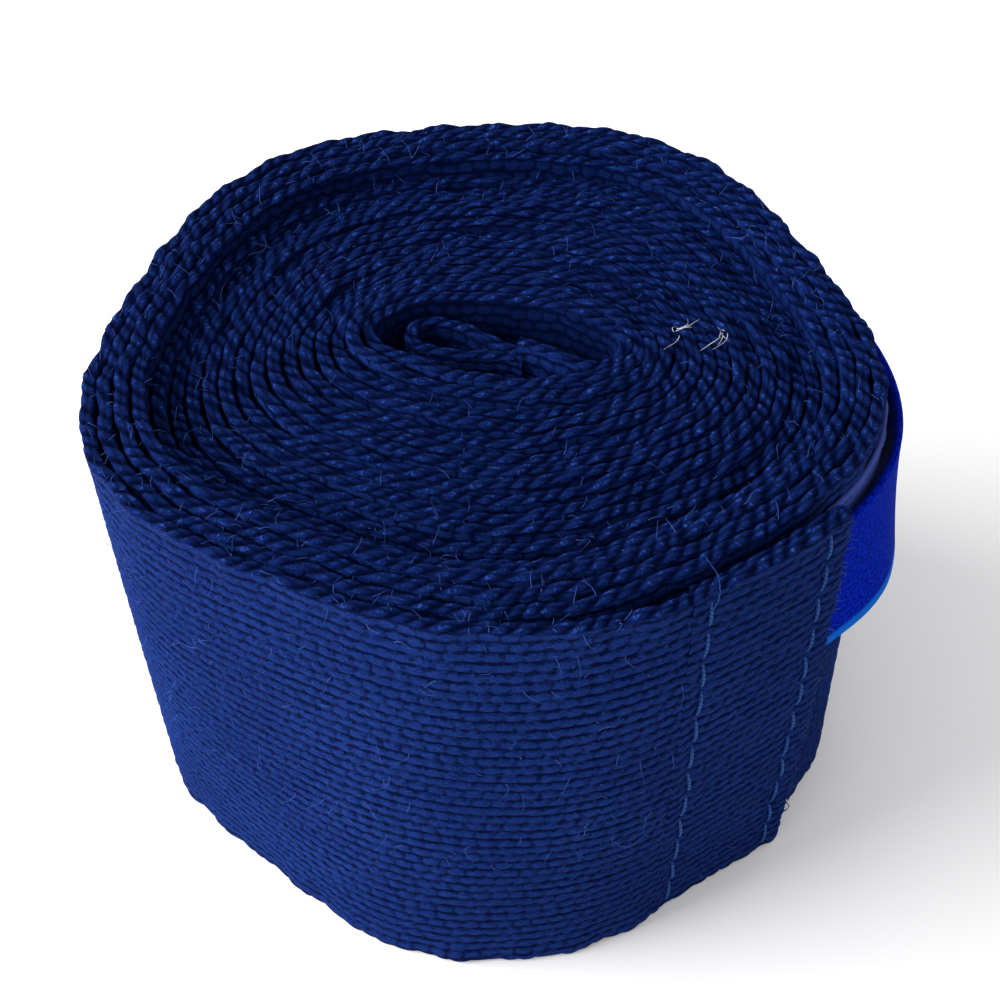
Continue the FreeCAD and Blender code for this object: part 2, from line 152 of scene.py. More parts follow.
class Colours(bpy.types.PropertyGroup):
    """Linear colours of the cotton, the tape and the threads; the cotton's deep and glint colours are
    painted shade and painted highlight.
    """
    yarn: colour("Yarn", (0.0038, 0.0125, 0.085), "Ridges of the cotton yarn")
    # Pale yarn colour: the fuzz, flecks and pale strands of the cotton, and the loop pile's light tone; on
    # the woven edge it also carries painted glints on the loop tops.
    pale_yarn_and_glint: colour("Light yarn", (0.014, 0.046, 0.23), "Fuzzy, worn tops of the yarn")
    # Painted shade colour: the cotton's gaps between yarns, nicks between edge loops, woven edges and inner
    # faces are darkened towards it; the loop pile also uses it as its own dark tone.
    deep_yarn_and_shade: colour("Deep yarn", (0.0008, 0.0025, 0.024), "Pits between the yarns")
    # Painted highlight colour for the glints on the edge loops.
    yarn_glint: colour("Yarn glint", (0.03, 0.12, 0.55), "Glints on the loops of the woven edge")
    tape: colour("Tape", (0.0005, 0.0026, 0.15), "Back of the hook tape")
    tape_edge: colour("Tape edge", (0.002, 0.10, 0.45), "Woven border of the hook tape")
    tape_fleck: colour("Tape fleck", (0.001, 0.016, 0.36), "Paler flecks of the tape's back")
    thread: colour("Thread", (0.012, 0.085, 0.36), "Sewing thread")
    fibre: colour("Fibre", (0.05, 0.11, 0.40), "Stray fibres of the yarn")
    lint: colour("Lint", (0.62, 0.66, 0.72), "Bits of pale lint")
    floor: colour("Floor", (0.93, 0.93, 0.93), "Studio floor")


GROUPS = {"roll_shape": RollShape, "band_sizes": BandSizes, "closure_sizes": ClosureSizes,
          "wrap_colours": Colours}


# ---------------------------------------------------------------- the wound path, in metres
def polar(radius, degrees):
    """Points at these radii and angles."""
    turn = np.radians(degrees)
    return np.stack([radius * np.cos(turn), radius * np.sin(turn)], axis=-1)


def smooth(value):
    """0 to 1 with soft ends."""
    value = np.clip(value, 0.0, 1.0)
    return value * value * (3.0 - 2.0 * value)


class Roll:
    """The path of the band, from the sizes in the scene's property groups."""

    def __init__(self, scene):
        self.shape = scene.roll_shape
        self.band = scene.band_sizes
        self.closure = scene.closure_sizes
        self.hem = math.degrees(self.shape.hem_angle)
        self.end_turn = self.shape.full_turns + self.hem / TURN
        half = self.band.thickness / 2
        parts = self.closure
        self.root_tape = half + parts.running_gap + parts.tape_thickness / 2
        self.hem_flap = (self.root_tape + parts.tape_thickness / 2 + parts.sewn_gap
                         + parts.hem_thickness / 2)
        self.hem_band = self.hem_flap + parts.hem_thickness / 2 + parts.sewn_gap + half
        self.patch = half + parts.sewn_gap + parts.patch_thickness / 2
        self.free_tape = (self.patch + parts.patch_thickness / 2 + parts.running_gap
                          + parts.tape_thickness / 2)
        self.centre = np.array(joint_place("thumb_loop_swing")[:2]) - np.array(LOOP_JOINT)
        reach = np.linalg.norm(self.flat_wound(np.array(self.end_turn)))
        self.per_metre = math.degrees(1.0 / reach)
        self.hem_span = (parts.hem_depth + 2 * parts.hem_margin) * self.per_metre
        self.hem_start = self.hem - self.hem_span
        self.tab_span = parts.tab_length * self.per_metre
        self.border_span = parts.patch_border * self.per_metre

    def outer_outline(self, degrees):
        """Middle of the outermost turn: a circle pushed out of round by the winding hand."""
        shape = self.shape
        radius = shape.radius - self.band.thickness / 2
        radius = radius + shape.shift * np.cos(np.radians(degrees - 93))
        radius = radius + shape.oval * np.cos(np.radians(2 * (degrees + 20)))
        radius = radius + shape.slump * np.cos(np.radians(3 * (degrees + 33)))
        radius = radius + shape.corners * np.cos(np.radians(5 * (degrees + 16)))
        return polar(radius, degrees)

    def inner_outline(self, degrees):
        """Middle of the innermost turn: a leaning oval round the thumb loop."""
        shape = self.shape
        turn = np.radians(degrees)
        flat = np.stack([shape.core_long * np.cos(turn), shape.core_short * np.sin(turn)], axis=-1)
        lean_cos, lean_sin = math.cos(shape.core_tilt), math.sin(shape.core_tilt)
        lean = np.array([[lean_cos, lean_sin], [-lean_sin, lean_cos]])
        return flat @ lean + np.array([shape.core_x, shape.core_y])

    def flat_wound(self, turns):
        """Middle of the band after this many turns, about the winding's own centre."""
        turns = np.asarray(turns, dtype=float)
        outwards = (turns / self.end_turn)[..., None]
        degrees = TURN * turns
        return self.inner_outline(degrees) * (1 - outwards) + self.outer_outline(degrees) * outwards

    def wound(self, turns):
        """Middle of the band after this many turns, in the object's frame."""
        return self.flat_wound(turns) + self.centre

    def outward(self, turns):
        """Unit vectors out of the roll, square to the band."""
        along = self.flat_wound(turns + 0.002) - self.flat_wound(turns - 0.002)
        square = np.stack([along[..., 1], -along[..., 0]], axis=-1)
        return square / np.linalg.norm(square, axis=-1, keepdims=True)

    def turns_at(self, degrees, last=True):
        """Turns at this angle; past the hem the turn below is the outermost one."""
        return self.shape.full_turns - (0 if last else 1) + np.asarray(degrees, dtype=float) / TURN

    def above(self, degrees, height, last=False):
        """Points this far above the middle of the turn below."""
        turns = self.turns_at(degrees, last)
        height = np.broadcast_to(np.asarray(height, dtype=float), turns.shape)
        return self.wound(turns) + self.outward(turns) * height[..., None]

    def last_turn(self, degrees):
        """Middle of the outermost turn, which climbs over the hem's flap and tape."""
        climb = smooth((degrees - (self.hem_start - self.hem_span)) / self.hem_span)[..., None]
        return self.wound(self.turns_at(degrees)) * (1 - climb) + self.above(degrees, self.hem_band) * climb

    def foot_shift(self, turns):
        """How far the foot of the slack turns stands out: in at both front corners, out between them."""
        slack = smooth((turns - self.shape.pack_turns + 1.0) / 3.5)
        degrees = turns * TURN % TURN
        shift = np.zeros(np.shape(turns))
        for middle, reach, amount in FOOT_SHIFTS:
            shift = shift + amount * np.exp(-((degrees - middle) / reach) ** 2)
        return slack * shift

    def tape(self, degrees):
        """Middle of the hook tape, sewn under the hem and free beyond it."""
        free = (degrees - self.hem) / self.tab_span
        height = self.root_tape + (self.free_tape - self.root_tape) * smooth(free * 6 + 1)
        height = height + self.closure.tape_bulge * np.sin(math.pi * np.clip(free, 0, 1))
        return self.above(degrees, height)


def joint_place(name):
    """Where a joint of the frame stands."""
    for joint in frame["joints"]:
        if joint["name"] == name:
            return joint["pos_m"]
    raise RuntimeError("no joint named %s" % name)


def mm_box(node):
    """Lowest and highest corner of a CAD node, in metres."""
    low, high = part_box(node)
    return np.array(low), np.array(high)


def ripple(along, seed, waves):
    """A smooth, repeatable wander between about -1 and 1 along a length; waves are wavelengths."""
    chance = np.random.default_rng(seed)
    total = np.zeros_like(along)
    for wave in waves:
        total += np.sin(2 * math.pi * along / (wave * chance.uniform(0.85, 1.15)) + chance.uniform(0, 6.28))
    return total / len(waves)


# ---------------------------------------------------------------- cloth built along a path
class Path:
    """Middle line of a strip of cloth: places, outward directions and the length run so far."""

    def __init__(self, points, start=0.0):
        self.points = np.asarray(points, dtype=float)
        along = np.gradient(self.points, axis=0)
        along /= np.linalg.norm(along, axis=1, keepdims=True)
        self.out = np.stack([along[:, 1], -along[:, 0]], axis=1)
        runs = np.linalg.norm(np.diff(self.points, axis=0), axis=1)
        self.run = start + np.concatenate([[0.0], np.cumsum(runs)])

    def evened(self, step):
        """The same path with points at even steps of length."""
        start, end = self.run[0], self.run[-1]
        even = np.linspace(start, end, max(3, int(round((end - start) / step)) + 1))
        points = np.stack([np.interp(even, self.run, self.points[:, k]) for k in (0, 1)], axis=1)
        return Path(points, start)

    def part(self, first, last):
        """A piece of the path between two of its points, both included."""
        piece = object.__new__(Path)
        keep = slice(first, last + 1)
        piece.points, piece.out, piece.run = self.points[keep], self.out[keep], self.run[keep]
        return piece


def section(outer_rows, inner_rows, cap_steps):
    """Once round the strip's section: side (+1 outer, -1 inner), height share, and cap (+ top, - foot)."""
    ring = [(1.0, k / (outer_rows - 1), 0.0) for k in range(outer_rows)]
    turns = [math.pi * k / cap_steps for k in range(1, cap_steps)]
    ring += [(math.cos(turn), 1.0, math.sin(turn)) for turn in turns]
    ring += [(-1.0, 1 - k / (inner_rows - 1), 0.0) for k in range(inner_rows)]
    ring += [(-math.cos(turn), 0.0, -math.sin(turn)) for turn in turns]
    return np.array(ring)


def edge_loops(path, side, pitch):
    """Weft loops along the woven edge: 0 in the nick between two loops, 1 on top of a loop."""
    wander = 0.6 * ripple(path.run, 7, (7 * MM, 17 * MM, 29 * MM))[:, None]
    plump = 0.8 + 0.2 * ripple(path.run, 8, (3.1 * MM, 5.3 * MM))[:, None]
    phase = path.run[:, None] / pitch + wander + 0.34 * side[None, :]
    return np.abs(np.sin(math.pi * phase)) ** 0.7 * plump


def woven_relief(run, height, lean, band):
    """Ribs of twisted yarn on a face: 0 in the gap between two yarns, 1 on top of one."""
    drift = np.sin(run / (17 * MM)) * 0.5 + np.sin(run / (6.1 * MM) + height / (9 * MM)) * 0.22
    rib = height / band.rib_pitch + drift
    row = np.floor(rib)
    across = rib - row - 0.5
    chance = np.sin(row * 12.9898 + 4.1) * 43758.5453
    chance = chance - np.floor(chance)
    cell = run / band.float_pitch + row * 0.5 + chance * 0.6 - across * lean * 0.8
    yarn = np.cos(math.pi * across) ** 0.8
    knuckle = np.abs(np.sin(math.pi * cell)) ** 0.6
    return yarn * (0.35 + 0.65 * knuckle)


def strip(name, path, thickness, foot, top, ring, band=None, relief=None, lean=None, wave=0.0,
          flare=0.0, flare_way=None):
    """A closed strip of cloth that stands on edge along a path.

    foot and top are heights along the path; band gives woven-edge sizes; relief adds to the outer face;
    lean slants the weave; wave moves the edges sideways, and flare moves the foot along flare_way.
    """
    side, share, cap = ring.T
    count, around = len(path.run), len(ring)
    foot = np.broadcast_to(foot, (count,))[:, None]
    top = np.broadcast_to(top, (count,))[:, None]
    half = np.broadcast_to(thickness / 2, (count,))[:, None] * np.ones((1, around))
    swell = np.zeros((count, around))
    sink = np.zeros((count, around))
    loops = np.ones((count, around))
    yarns = np.full((count, around), -1.0)
    to_edge = np.minimum(share, 1 - share) * (top - foot)
    if band:
        near_edge = np.exp(-to_edge / (0.9 * MM))
        loops = edge_loops(path, side, band.loop_pitch)
        swell = near_edge * (band.loop_fullness - 1 + 0.35 * (loops - 0.6))
        sink = band.loop_height * (1 - loops) * np.abs(cap)
    across = half * side * (1 + swell)
    height = foot + half + share * (top - foot - 2 * half) + (half - sink) * cap
    if band and (side > 0.5).sum() >= FINE_ROWS:
        yarns = woven_relief(path.run[:, None], height, lean[:, None], band)
        face = (side > 0.99) * (1 - near_edge)
        across = across + side * face * (yarns - 0.6) * band.rib_height
        yarns = np.where(side > 0, yarns, -1.0)
    if relief is not None:
        across = across + relief * (side > 0.5)
    across = across + np.broadcast_to(wave, (count,))[:, None] * np.exp(-(to_edge / (3.0 * MM)) ** 2)
    sway = np.broadcast_to(flare, (count,))[:, None] * (1 - share) ** FLARE_POWER
    way = path.out if flare_way is None else flare_way
    places = np.empty((count, around, 3))
    for axis in (0, 1):
        places[..., axis] = (path.points[:, axis:axis + 1] + path.out[:, axis:axis + 1] * across
                             + way[:, axis:axis + 1] * sway)
    places[..., 2] = height
    marks = {"edge": np.tile(np.abs(cap), (count, 1)), "inside": np.tile((side < -0.5) * 1.0, (count, 1)),
             "loops": loops, "yarns": yarns}
    if lean is not None:
        marks["lean"] = np.repeat(lean[:, None], around, axis=1)
    return grid_object(name, places, path.run, height + 0.06 * (side < 0), marks)


def grid_object(name, places, run, height, marks):
    """A closed mesh from rings of points, with a length-and-height UV map and named attributes."""
    count, around = places.shape[:2]
    index = np.arange(count * around).reshape(count, around)
    follow = np.roll(index, -1, axis=1)
    quads = np.stack([index[:-1], follow[:-1], follow[1:], index[1:]], axis=-1).reshape(-1, 4)
    mesh = bpy.data.meshes.new(name)
    ends = [tuple(index[0][::-1]), tuple(index[-1])]
    mesh.from_pydata(places.reshape(-1, 3), [], [tuple(quad) for quad in quads.tolist()] + ends)
    lengths = np.repeat(run[:, None], around, axis=1).reshape(-1)
    heights = height.reshape(-1)
    corners = np.empty(len(mesh.loops), dtype=np.int32)
    mesh.loops.foreach_get("vertex_index", corners)
    layer = mesh.uv_layers.new(name="cloth")
    layer.data.foreach_set("uv", np.stack([lengths[corners], heights[corners]], axis=1).reshape(-1))
    for mark, values in marks.items():
        store = mesh.attributes.new(mark, "FLOAT", "POINT")
        store.data.foreach_set("value", values.reshape(-1).astype(np.float32))
    piece = bpy.data.objects.new(name, mesh)
    bpy.context.scene.collection.objects.link(piece)
    outward_faces(piece)
    return piece


def outward_faces(piece):
    """Turns the faces outward, smooths them, and keeps the corners of the end caps crisp."""
    work = bmesh.new()
    work.from_mesh(piece.data)
    bmesh.ops.recalc_face_normals(work, faces=work.faces)
    for face in work.faces:
        face.smooth = len(face.verts) == 4
        if len(face.verts) > 4:
            for edge in face.edges:
                edge.smooth = False
    work.to_mesh(piece.data)
    work.free()
    piece.data.update()


def dress(piece, material):
    """Gives a piece its material."""
    piece.data.materials.clear()
    piece.data.materials.append(material)


def flat_cloth(path):
    """Works out the length of a path and does nothing with it."""
    float(path.run[-1] - path.run[0])


# ---------------------------------------------------------------- shader expressions
class Value:
    """A shader socket holding a number, for use in plain expressions."""

    def __init__(self, shader, socket):
        self.shader = shader
        self.socket = socket

    def maths(self, operation, *inputs, **settings):
        return self.shader.value("ShaderNodeMath", {"operation": operation, **settings}, *inputs)

    def __add__(self, other):
        return self.maths("ADD", self, other)

    def __sub__(self, other):
        return self.maths("SUBTRACT", self, other)

    def __rsub__(self, other):
        return self.maths("SUBTRACT", other, self)

    def __mul__(self, other):
        return self.maths("MULTIPLY", self, other)

    def __truediv__(self, other):
        return self.maths("DIVIDE", self, other)

    def __mod__(self, other):
        return self.maths("FLOORED_MODULO", self, other)

    def __pow__(self, other):
        return self.maths("POWER", self, other)

    __radd__ = __add__
    __rmul__ = __mul__

    def floor(self):
        return self.maths("FLOOR", self)

    def fraction(self):
        return self.maths("FRACT", self)

    def size(self):
        return self.maths("ABSOLUTE", self)

    def sine(self):
        return self.maths("SINE", self)

    def between(self, low, high):
        """0 below low, 1 above high, smooth between."""
        return self.shader.value("ShaderNodeMapRange", {"interpolation_type": "SMOOTHSTEP"},
                                 self, low, high, 0.0, 1.0)


class Shader:
    """One node material under construction."""

    def __init__(self, name):
        self.material = bpy.data.materials.new(name)
        self.material.use_nodes = True
        self.tree = self.material.node_tree
        self.tree.nodes.clear()

    def node(self, kind, settings=None, *inputs, **named):
        """Any node: settings first, then its inputs in order or by name."""
        made = self.tree.nodes.new(kind)
        for key, setting in (settings or {}).items():
            setattr(made, key, setting)
        for socket, given in list(zip(made.inputs, inputs)) + [(made.inputs[k.replace("_", " ")], v)
                                                               for k, v in named.items()]:
            if isinstance(given, Value):
                self.tree.links.new(given.socket, socket)
            elif isinstance(given, bpy.types.NodeSocket):
                self.tree.links.new(given, socket)
            elif given is not None:
                socket.default_value = given
        return made

    def value(self, kind, settings=None, *inputs, **named):
        """A node's first output, as a Value."""
        return Value(self, self.node(kind, settings, *inputs, **named).outputs[0])

    def mark(self, name):
        """A vertex attribute of the piece."""
        made = self.node("ShaderNodeAttribute", {"attribute_name": name})
        return Value(self, made.outputs["Fac"])

    def cloth_place(self):
        """Length along the cloth and height on it, in metres."""
        uv = self.node("ShaderNodeUVMap", {"uv_map": "cloth"})
        split = self.node("ShaderNodeSeparateXYZ", None, uv.outputs["UV"])
        return Value(self, split.outputs[0]), Value(self, split.outputs[1])

    def vector(self, x, y, z=0.0):
        """A vector from three values."""
        return self.node("ShaderNodeCombineXYZ", None, x, y, z).outputs[0]

    def noise(self, place, scale, detail=2.0, rough=0.5):
        """Soft noise between 0 and 1."""
        made = self.node("ShaderNodeTexNoise", {"noise_dimensions": "3D"}, Vector=place, Scale=scale,
                         Detail=detail, Roughness=rough)
        return Value(self, made.outputs["Fac"])

    def chance(self, place):
        """A random number for each whole-numbered place."""
        made = self.node("ShaderNodeTexWhiteNoise", {"noise_dimensions": "3D"}, Vector=place)
        return Value(self, made.outputs["Value"])

    def mix(self, share, first, second):
        """A colour between two colours."""
        made = self.node("ShaderNodeMix", {"data_type": "RGBA"})
        for name, given in (("Factor_Float", share), ("A_Color", first), ("B_Color", second)):
            socket = next(item for item in made.inputs if item.identifier == name)
            if isinstance(given, Value):
                self.tree.links.new(given.socket, socket)
            elif isinstance(given, bpy.types.NodeSocket):
                self.tree.links.new(given, socket)
            else:
                socket.default_value = given if name == "Factor_Float" else (*given, 1.0)
        return next(item for item in made.outputs if item.identifier == "Result_Color")

    def bump(self, height, strength=1.0):
        """A surface normal from a height in millimetres."""
        return self.node("ShaderNodeBump", None, Height=height, Strength=strength,
                         Distance=MM).outputs["Normal"]

    def finish(self, base, roughness, normal, **constants):
        """Ends the material in one principled shader."""
        surface = self.node("ShaderNodeBsdfPrincipled", None, Base_Color=base, Roughness=roughness,
                            Normal=normal)
        for name, constant in constants.items():
            surface.inputs[name.replace("_", " ")].default_value = constant
        self.node("ShaderNodeOutputMaterial", None, surface.outputs["BSDF"])
        return self.material


# ---------------------------------------------------------------- finishes
def flat_ribs(along, across, wander, sizes):
    """Ribs of yarn drawn on a face whose mesh has none: 0 in a gap, 1 on top of a yarn."""
    rib = across / sizes.rib_pitch + (wander - 0.5) * 1.6
    across_yarn = (rib.fraction() * 2.0 - 1.0).size()
    knuckle = ((along / sizes.float_pitch + rib.floor() * 0.5) * math.pi).sine().size()
    return (1.0 - across_yarn ** 2.0) * (0.35 + 0.65 * knuckle)


def woven_cotton(scene):
    """Chunky twisted cotton: yarns with painted shade in the gaps between them, and glossy loops at the edge
    with painted glints.
    """
    colours = scene.wrap_colours
    shade = Shader("woven_cotton")
    along, across = shade.cloth_place()
    edge, lean, inside = shade.mark("edge"), shade.mark("lean"), shade.mark("inside")
    loops, meshed = shade.mark("loops"), shade.mark("yarns")
    place = shade.vector(along, across)
    wander = shade.noise(place, 260.0, 2.0)
    at_edge = edge.between(0.05, 0.5)
    face = 1.0 - at_edge
    has_ribs = meshed.between(-0.6, -0.1)
    drawn = flat_ribs(along, across, wander, scene.band_sizes)
    yarns = meshed * has_ribs + drawn * (1.0 - has_ribs)
    strands = shade.vector(along * 1500.0 + across * lean * 900.0, across * 3800.0)
    twist = shade.noise(strands, 1.0, 3.0, 0.65)
    curls = shade.noise(shade.vector(along * 2100.0 + across * 1700.0, across * 5200.0), 1.0, 2.0, 0.6)
    fuzz = shade.noise(place, 6500.0, 3.0, 0.8)
    grain = shade.noise(place, 1500.0, 2.0, 0.6)
    cloud = shade.noise(place, 45.0, 3.0, 0.6)
    gap = 1.0 - (yarns + (grain - 0.5) * 1.1 + (twist - 0.5) * 0.6).between(0.1, 0.75)
    flecks = fuzz.between(0.5, 0.68)
    light = twist.between(0.42, 0.7) * 0.45 + flecks * 0.85 + cloud.between(0.35, 0.75) * 0.3
    # Painted highlight: glints on the tops of the edge loops.
    glint = curls.between(0.52, 0.66) * loops.between(0.5, 0.95) * at_edge
    # Pale yarn is kept off the gaps between yarns, a part of the painted shade; at the woven edge the
    # painted glints join the flecks.
    light = light * (0.35 + 0.65 * yarns) * face + (glint + flecks * 0.6) * at_edge
    base = shade.mix(light, colours.yarn, colours.pale_yarn_and_glint)
    nick = (1.0 - loops.between(0.1, 0.85)) * at_edge
    # Painted shade: darker in the gaps between yarns, in the nicks between edge loops, and over the woven
    # edges except at their glints.
    painted_shade = gap * face * (0.75 + 0.5 * cloud) + nick * 0.9 + at_edge * (1.0 - glint) * 0.2
    base = shade.mix(painted_shade.between(0.0, 1.0) * 0.92, base, (*colours.deep_yarn_and_shade,))
    # Painted shade: the inner faces, which lie in the narrow gaps between turns, are darkened.
    base = shade.mix(inside * face * 0.55, base, (*colours.deep_yarn_and_shade,))
    # Painted highlight: the brightest glints on the edge loops.
    base = shade.mix(glint * flecks.between(0.1, 0.6), base, (*colours.yarn_glint,))
    height = twist * 0.22 + flecks * 0.07 - gap * face * 0.16 + curls * at_edge * 0.38
    rough = 0.85 - glint * 0.35
    return shade.finish(base, rough, shade.bump(height), Sheen_Weight=0.02, Sheen_Roughness=0.4,
                        Sheen_Tint=(0.08, 0.25, 1.0, 1.0), Specular_IOR_Level=0.07, IOR=1.3,
                        Specular_Tint=(0.1, 0.3, 1.0, 1.0))


def tape_back(scene):
    """Speckled, finely woven back of the hook tape, with a paler border along its lower edge."""
    colours = scene.wrap_colours
    low = mm_box("hook_tape_near")[0][2]
    shade = Shader("hook_tape_back")
    along, across = shade.cloth_place()
    inside = shade.mark("inside")
    place = shade.vector(along, across)
    speck = shade.noise(place, 2600.0, 2.0, 0.6)
    cloud = shade.noise(place, 260.0, 2.0)
    weave = ((along * 9000.0).sine() * (across * 9000.0).sine()) * 0.5 + 0.5
    border = (1.0 - (across - low).between(1.1 * MM, 1.7 * MM)) * (1.0 - inside)
    base = shade.mix(speck.between(0.42, 0.62) * 0.9 + cloud * 0.1, colours.tape, colours.tape_fleck)
    base = shade.mix(border * 0.85, base, (*colours.tape_edge,))
    hooks = ((along * 4200.0).sine() * (across * 4200.0).sine()).between(0.2, 0.8) * inside
    height = weave * 0.03 + speck * 0.05 + hooks * 0.3
    rough = 0.6 - border * 0.15 + speck * 0.1
    return shade.finish(base, rough, shade.bump(height), Sheen_Weight=0.03, Sheen_Roughness=0.3,
                        Sheen_Tint=(0.05, 0.4, 1.0, 1.0), Specular_IOR_Level=0.05, IOR=1.1,
                        Specular_Tint=(0.1, 0.45, 1.0, 1.0))


def brushed_pile(scene):
    """Napped loops of the patch that the hooks grip."""
    colours = scene.wrap_colours
    shade = Shader("loop_pile")
    along, across = shade.cloth_place()
    place = shade.vector(along, across)
    curls = shade.value("ShaderNodeTexVoronoi", {"feature": "F1"}, Vector=place, Scale=1500.0)
    fuzz = shade.noise(place, 6000.0, 3.0, 0.7)
    light = curls.between(0.1, 0.6) * 0.4 + fuzz * 0.2
    base = shade.mix(light, colours.deep_yarn_and_shade, colours.pale_yarn_and_glint)
    return shade.finish(base, 0.95 - light * 0.1, shade.bump(curls * 0.25 + fuzz * 0.1), Sheen_Weight=0.02,
                        Sheen_Roughness=0.6, Sheen_Tint=(0.1, 0.3, 1.0, 1.0), Specular_IOR_Level=0.05,
                        IOR=1.2)


def spun_thread(scene):
    """Twisted sewing thread, a little glossier and brighter than the cotton."""
    colours = scene.wrap_colours
    shade = Shader("sewing_thread")
    place = shade.node("ShaderNodeTexCoord").outputs["Object"]
    split = shade.node("ShaderNodeSeparateXYZ", None, place)
    x, y, z = (Value(shade, socket) for socket in split.outputs)
    twist = 0.5 + 0.5 * ((z * 9.0 + x * 4.0 + y * 4.0) * 1400.0).sine()
    fibre = shade.noise(place, 5000.0, 2.0)
    base = shade.mix(twist * 0.4 + fibre * 0.25, colours.yarn, colours.thread)
    return shade.finish(base, 0.55 + fibre * 0.2, shade.bump(twist * 0.06), Sheen_Weight=0.1,
                        Sheen_Roughness=0.3, Sheen_Tint=(0.2, 0.6, 1.0, 1.0), Specular_IOR_Level=0.3,
                        Specular_Tint=(0.2, 0.6, 1.0, 1.0))


def loose_fibre(name, tint, deep):
    """Fine loose fibres, uneven in colour along their length."""
    shade = Shader(name)
    place = shade.node("ShaderNodeTexCoord").outputs["Object"]
    change = shade.noise(place, 900.0, 2.0)
    base = shade.mix(change, deep, tint)
    return shade.finish(base, 0.6 + change * 0.3, shade.bump(change * 0.02), Specular_IOR_Level=0.2)


def studio_paper(scene):
    """Plain pale floor with a very faint grain."""
    shade = Shader("studio_floor")
    place = shade.node("ShaderNodeTexCoord").outputs["Object"]
    grain = shade.noise(place, 300.0, 2.0)
    tint = scene.wrap_colours.floor
    base = shade.mix(grain * 0.1, tint, (*[channel * 0.97 for channel in tint],))
    return shade.finish(base, 0.9 - grain * 0.05, shade.bump(grain * 0.002), Specular_IOR_Level=0.1)


# ---------------------------------------------------------------- the whole band as one long path
STEP = 0.32 * MM            # distance between two samples along the cloth
BAND_START = -0.1           # turns at the thumb loop's joint
TAIL_JOIN = -0.04           # turns where the band's inner end joins the spiral
WINDING_STEP = 0.004        # turns between two rough samples of the spiral
COVERED_ROWS = 4            # rows up the face of turns that lie covered
HALF_SEEN_ROWS = 10         # rows up the face of turns that are seen a little
SEEN_ROWS = 150             # rows up a face that is seen: its yarns are in the mesh
BARE_TURN = 0.58            # turns before the loose turn whose face is seen
HEM_BEND = 0.6              # degrees before the hem's edge where the cloth turns back


class Band:
    """The whole band from the thumb loop's joint to the hem, sampled once and cut into pieces."""

    def __init__(self, roll):
        self.roll = roll
        shape = roll.shape
        tail = self.inner_end(TAIL_JOIN)
        quarter = math.degrees(shape.leaf_start) - 90
        wound = np.arange(TAIL_JOIN, roll.turns_at(quarter), WINDING_STEP)
        leaf = np.arange(quarter, roll.hem, 1.0)
        rough = Path(np.concatenate([tail, roll.wound(wound), roll.last_turn(leaf)]))
        tail_turns = np.linspace(BAND_START, TAIL_JOIN - 0.002, len(tail))
        turns = np.concatenate([tail_turns, wound, roll.turns_at(leaf)])
        self.path = rough.evened(STEP)
        self.turns = np.interp(self.path.run, rough.run, turns)

    def inner_end(self, join):
        """From the thumb loop's joint the band runs out and turns into the spiral."""
        roll = self.roll
        axis = polar(1.0, LOOP_DIRECTION)
        joint = np.array(joint_place("thumb_loop_swing")[:2])
        start = joint - axis * 0.3 * MM
        finish = roll.wound(join)
        along = roll.wound(join + 0.01) - finish
        along /= np.linalg.norm(along)
        reach = np.linalg.norm(finish - start) * 0.42
        t = np.linspace(0, 1, 30)[:-1, None]
        return ((1 - t) ** 3 * start + 3 * t * (1 - t) ** 2 * (start - axis * reach)
                + 3 * t * t * (1 - t) * (finish - along * reach) + t ** 3 * finish)

    def at(self, turns):
        """Index of the sample nearest to this many turns."""
        return int(np.argmin(np.abs(self.turns - turns)))

    def slice(self, start, end):
        """The path and turns between two numbers of turns."""
        first, last = self.at(start), self.at(end)
        return self.path.part(first, last), self.turns[first:last + 1]

    def top(self, path, turns, pack_top, full_top):
        """Height of the upper edge: low and uneven in the tight pack, lowest just inside the slack turns."""
        pack = self.roll.shape.pack_turns
        rise = smooth((turns - pack + 1.2) / 2.0)
        valley = np.exp(-((turns - pack + 1.3) / 1.3) ** 2) * 0.7 * MM
        core = np.exp(-(turns / 2.5) ** 2) * 0.8 * MM
        uneven = ripple(path.run, 3, (63 * MM, 140 * MM, 31 * MM)) * 0.45 * MM
        uneven = uneven + ripple(path.run, 4, (6.1 * MM, 13 * MM)) * 0.26 * MM
        slack = ripple(path.run, 5, (5.3 * MM, 47 * MM)) * 0.16 * MM
        pack_height = pack_top - 0.2 * MM - valley + core + uneven
        return pack_height * (1 - rise) + (full_top - 0.2 * MM + slack + uneven * 0.25) * rise


def band_piece(name, band, start, end, rows):
    """One length of the band, between two numbers of turns."""
    path, turns = band.slice(start, end)
    pack_top = mm_box("band_inner_turns")[1][2]
    foot, full_top = (corner[2] for corner in mm_box("band_outer_turns"))
    lean = np.sin(np.radians(turns * TURN - 262.0))
    sizes = band.roll.band
    slack = smooth((turns - band.roll.shape.pack_turns) / 1.5)
    wave = ripple(path.run, 9, (sizes.scallop_pitch, sizes.scallop_pitch * 1.7))
    wave = wave * (0.4 + 0.6 * slack) * sizes.scallop_depth
    top = band.top(path, turns, pack_top, full_top)
    piece = strip(name, path, sizes.thickness, foot, top, section(rows, 3, 7), sizes, None, lean,
                  wave, band.roll.foot_shift(turns))
    flat_cloth(path)
    return piece


def material(name, make):
    """A finish, made once."""
    return bpy.data.materials.get(name) or make()


def cotton(piece, scene):
    """Dresses a piece in the band's cotton."""
    dress(piece, material("woven_cotton", lambda: woven_cotton(scene)))


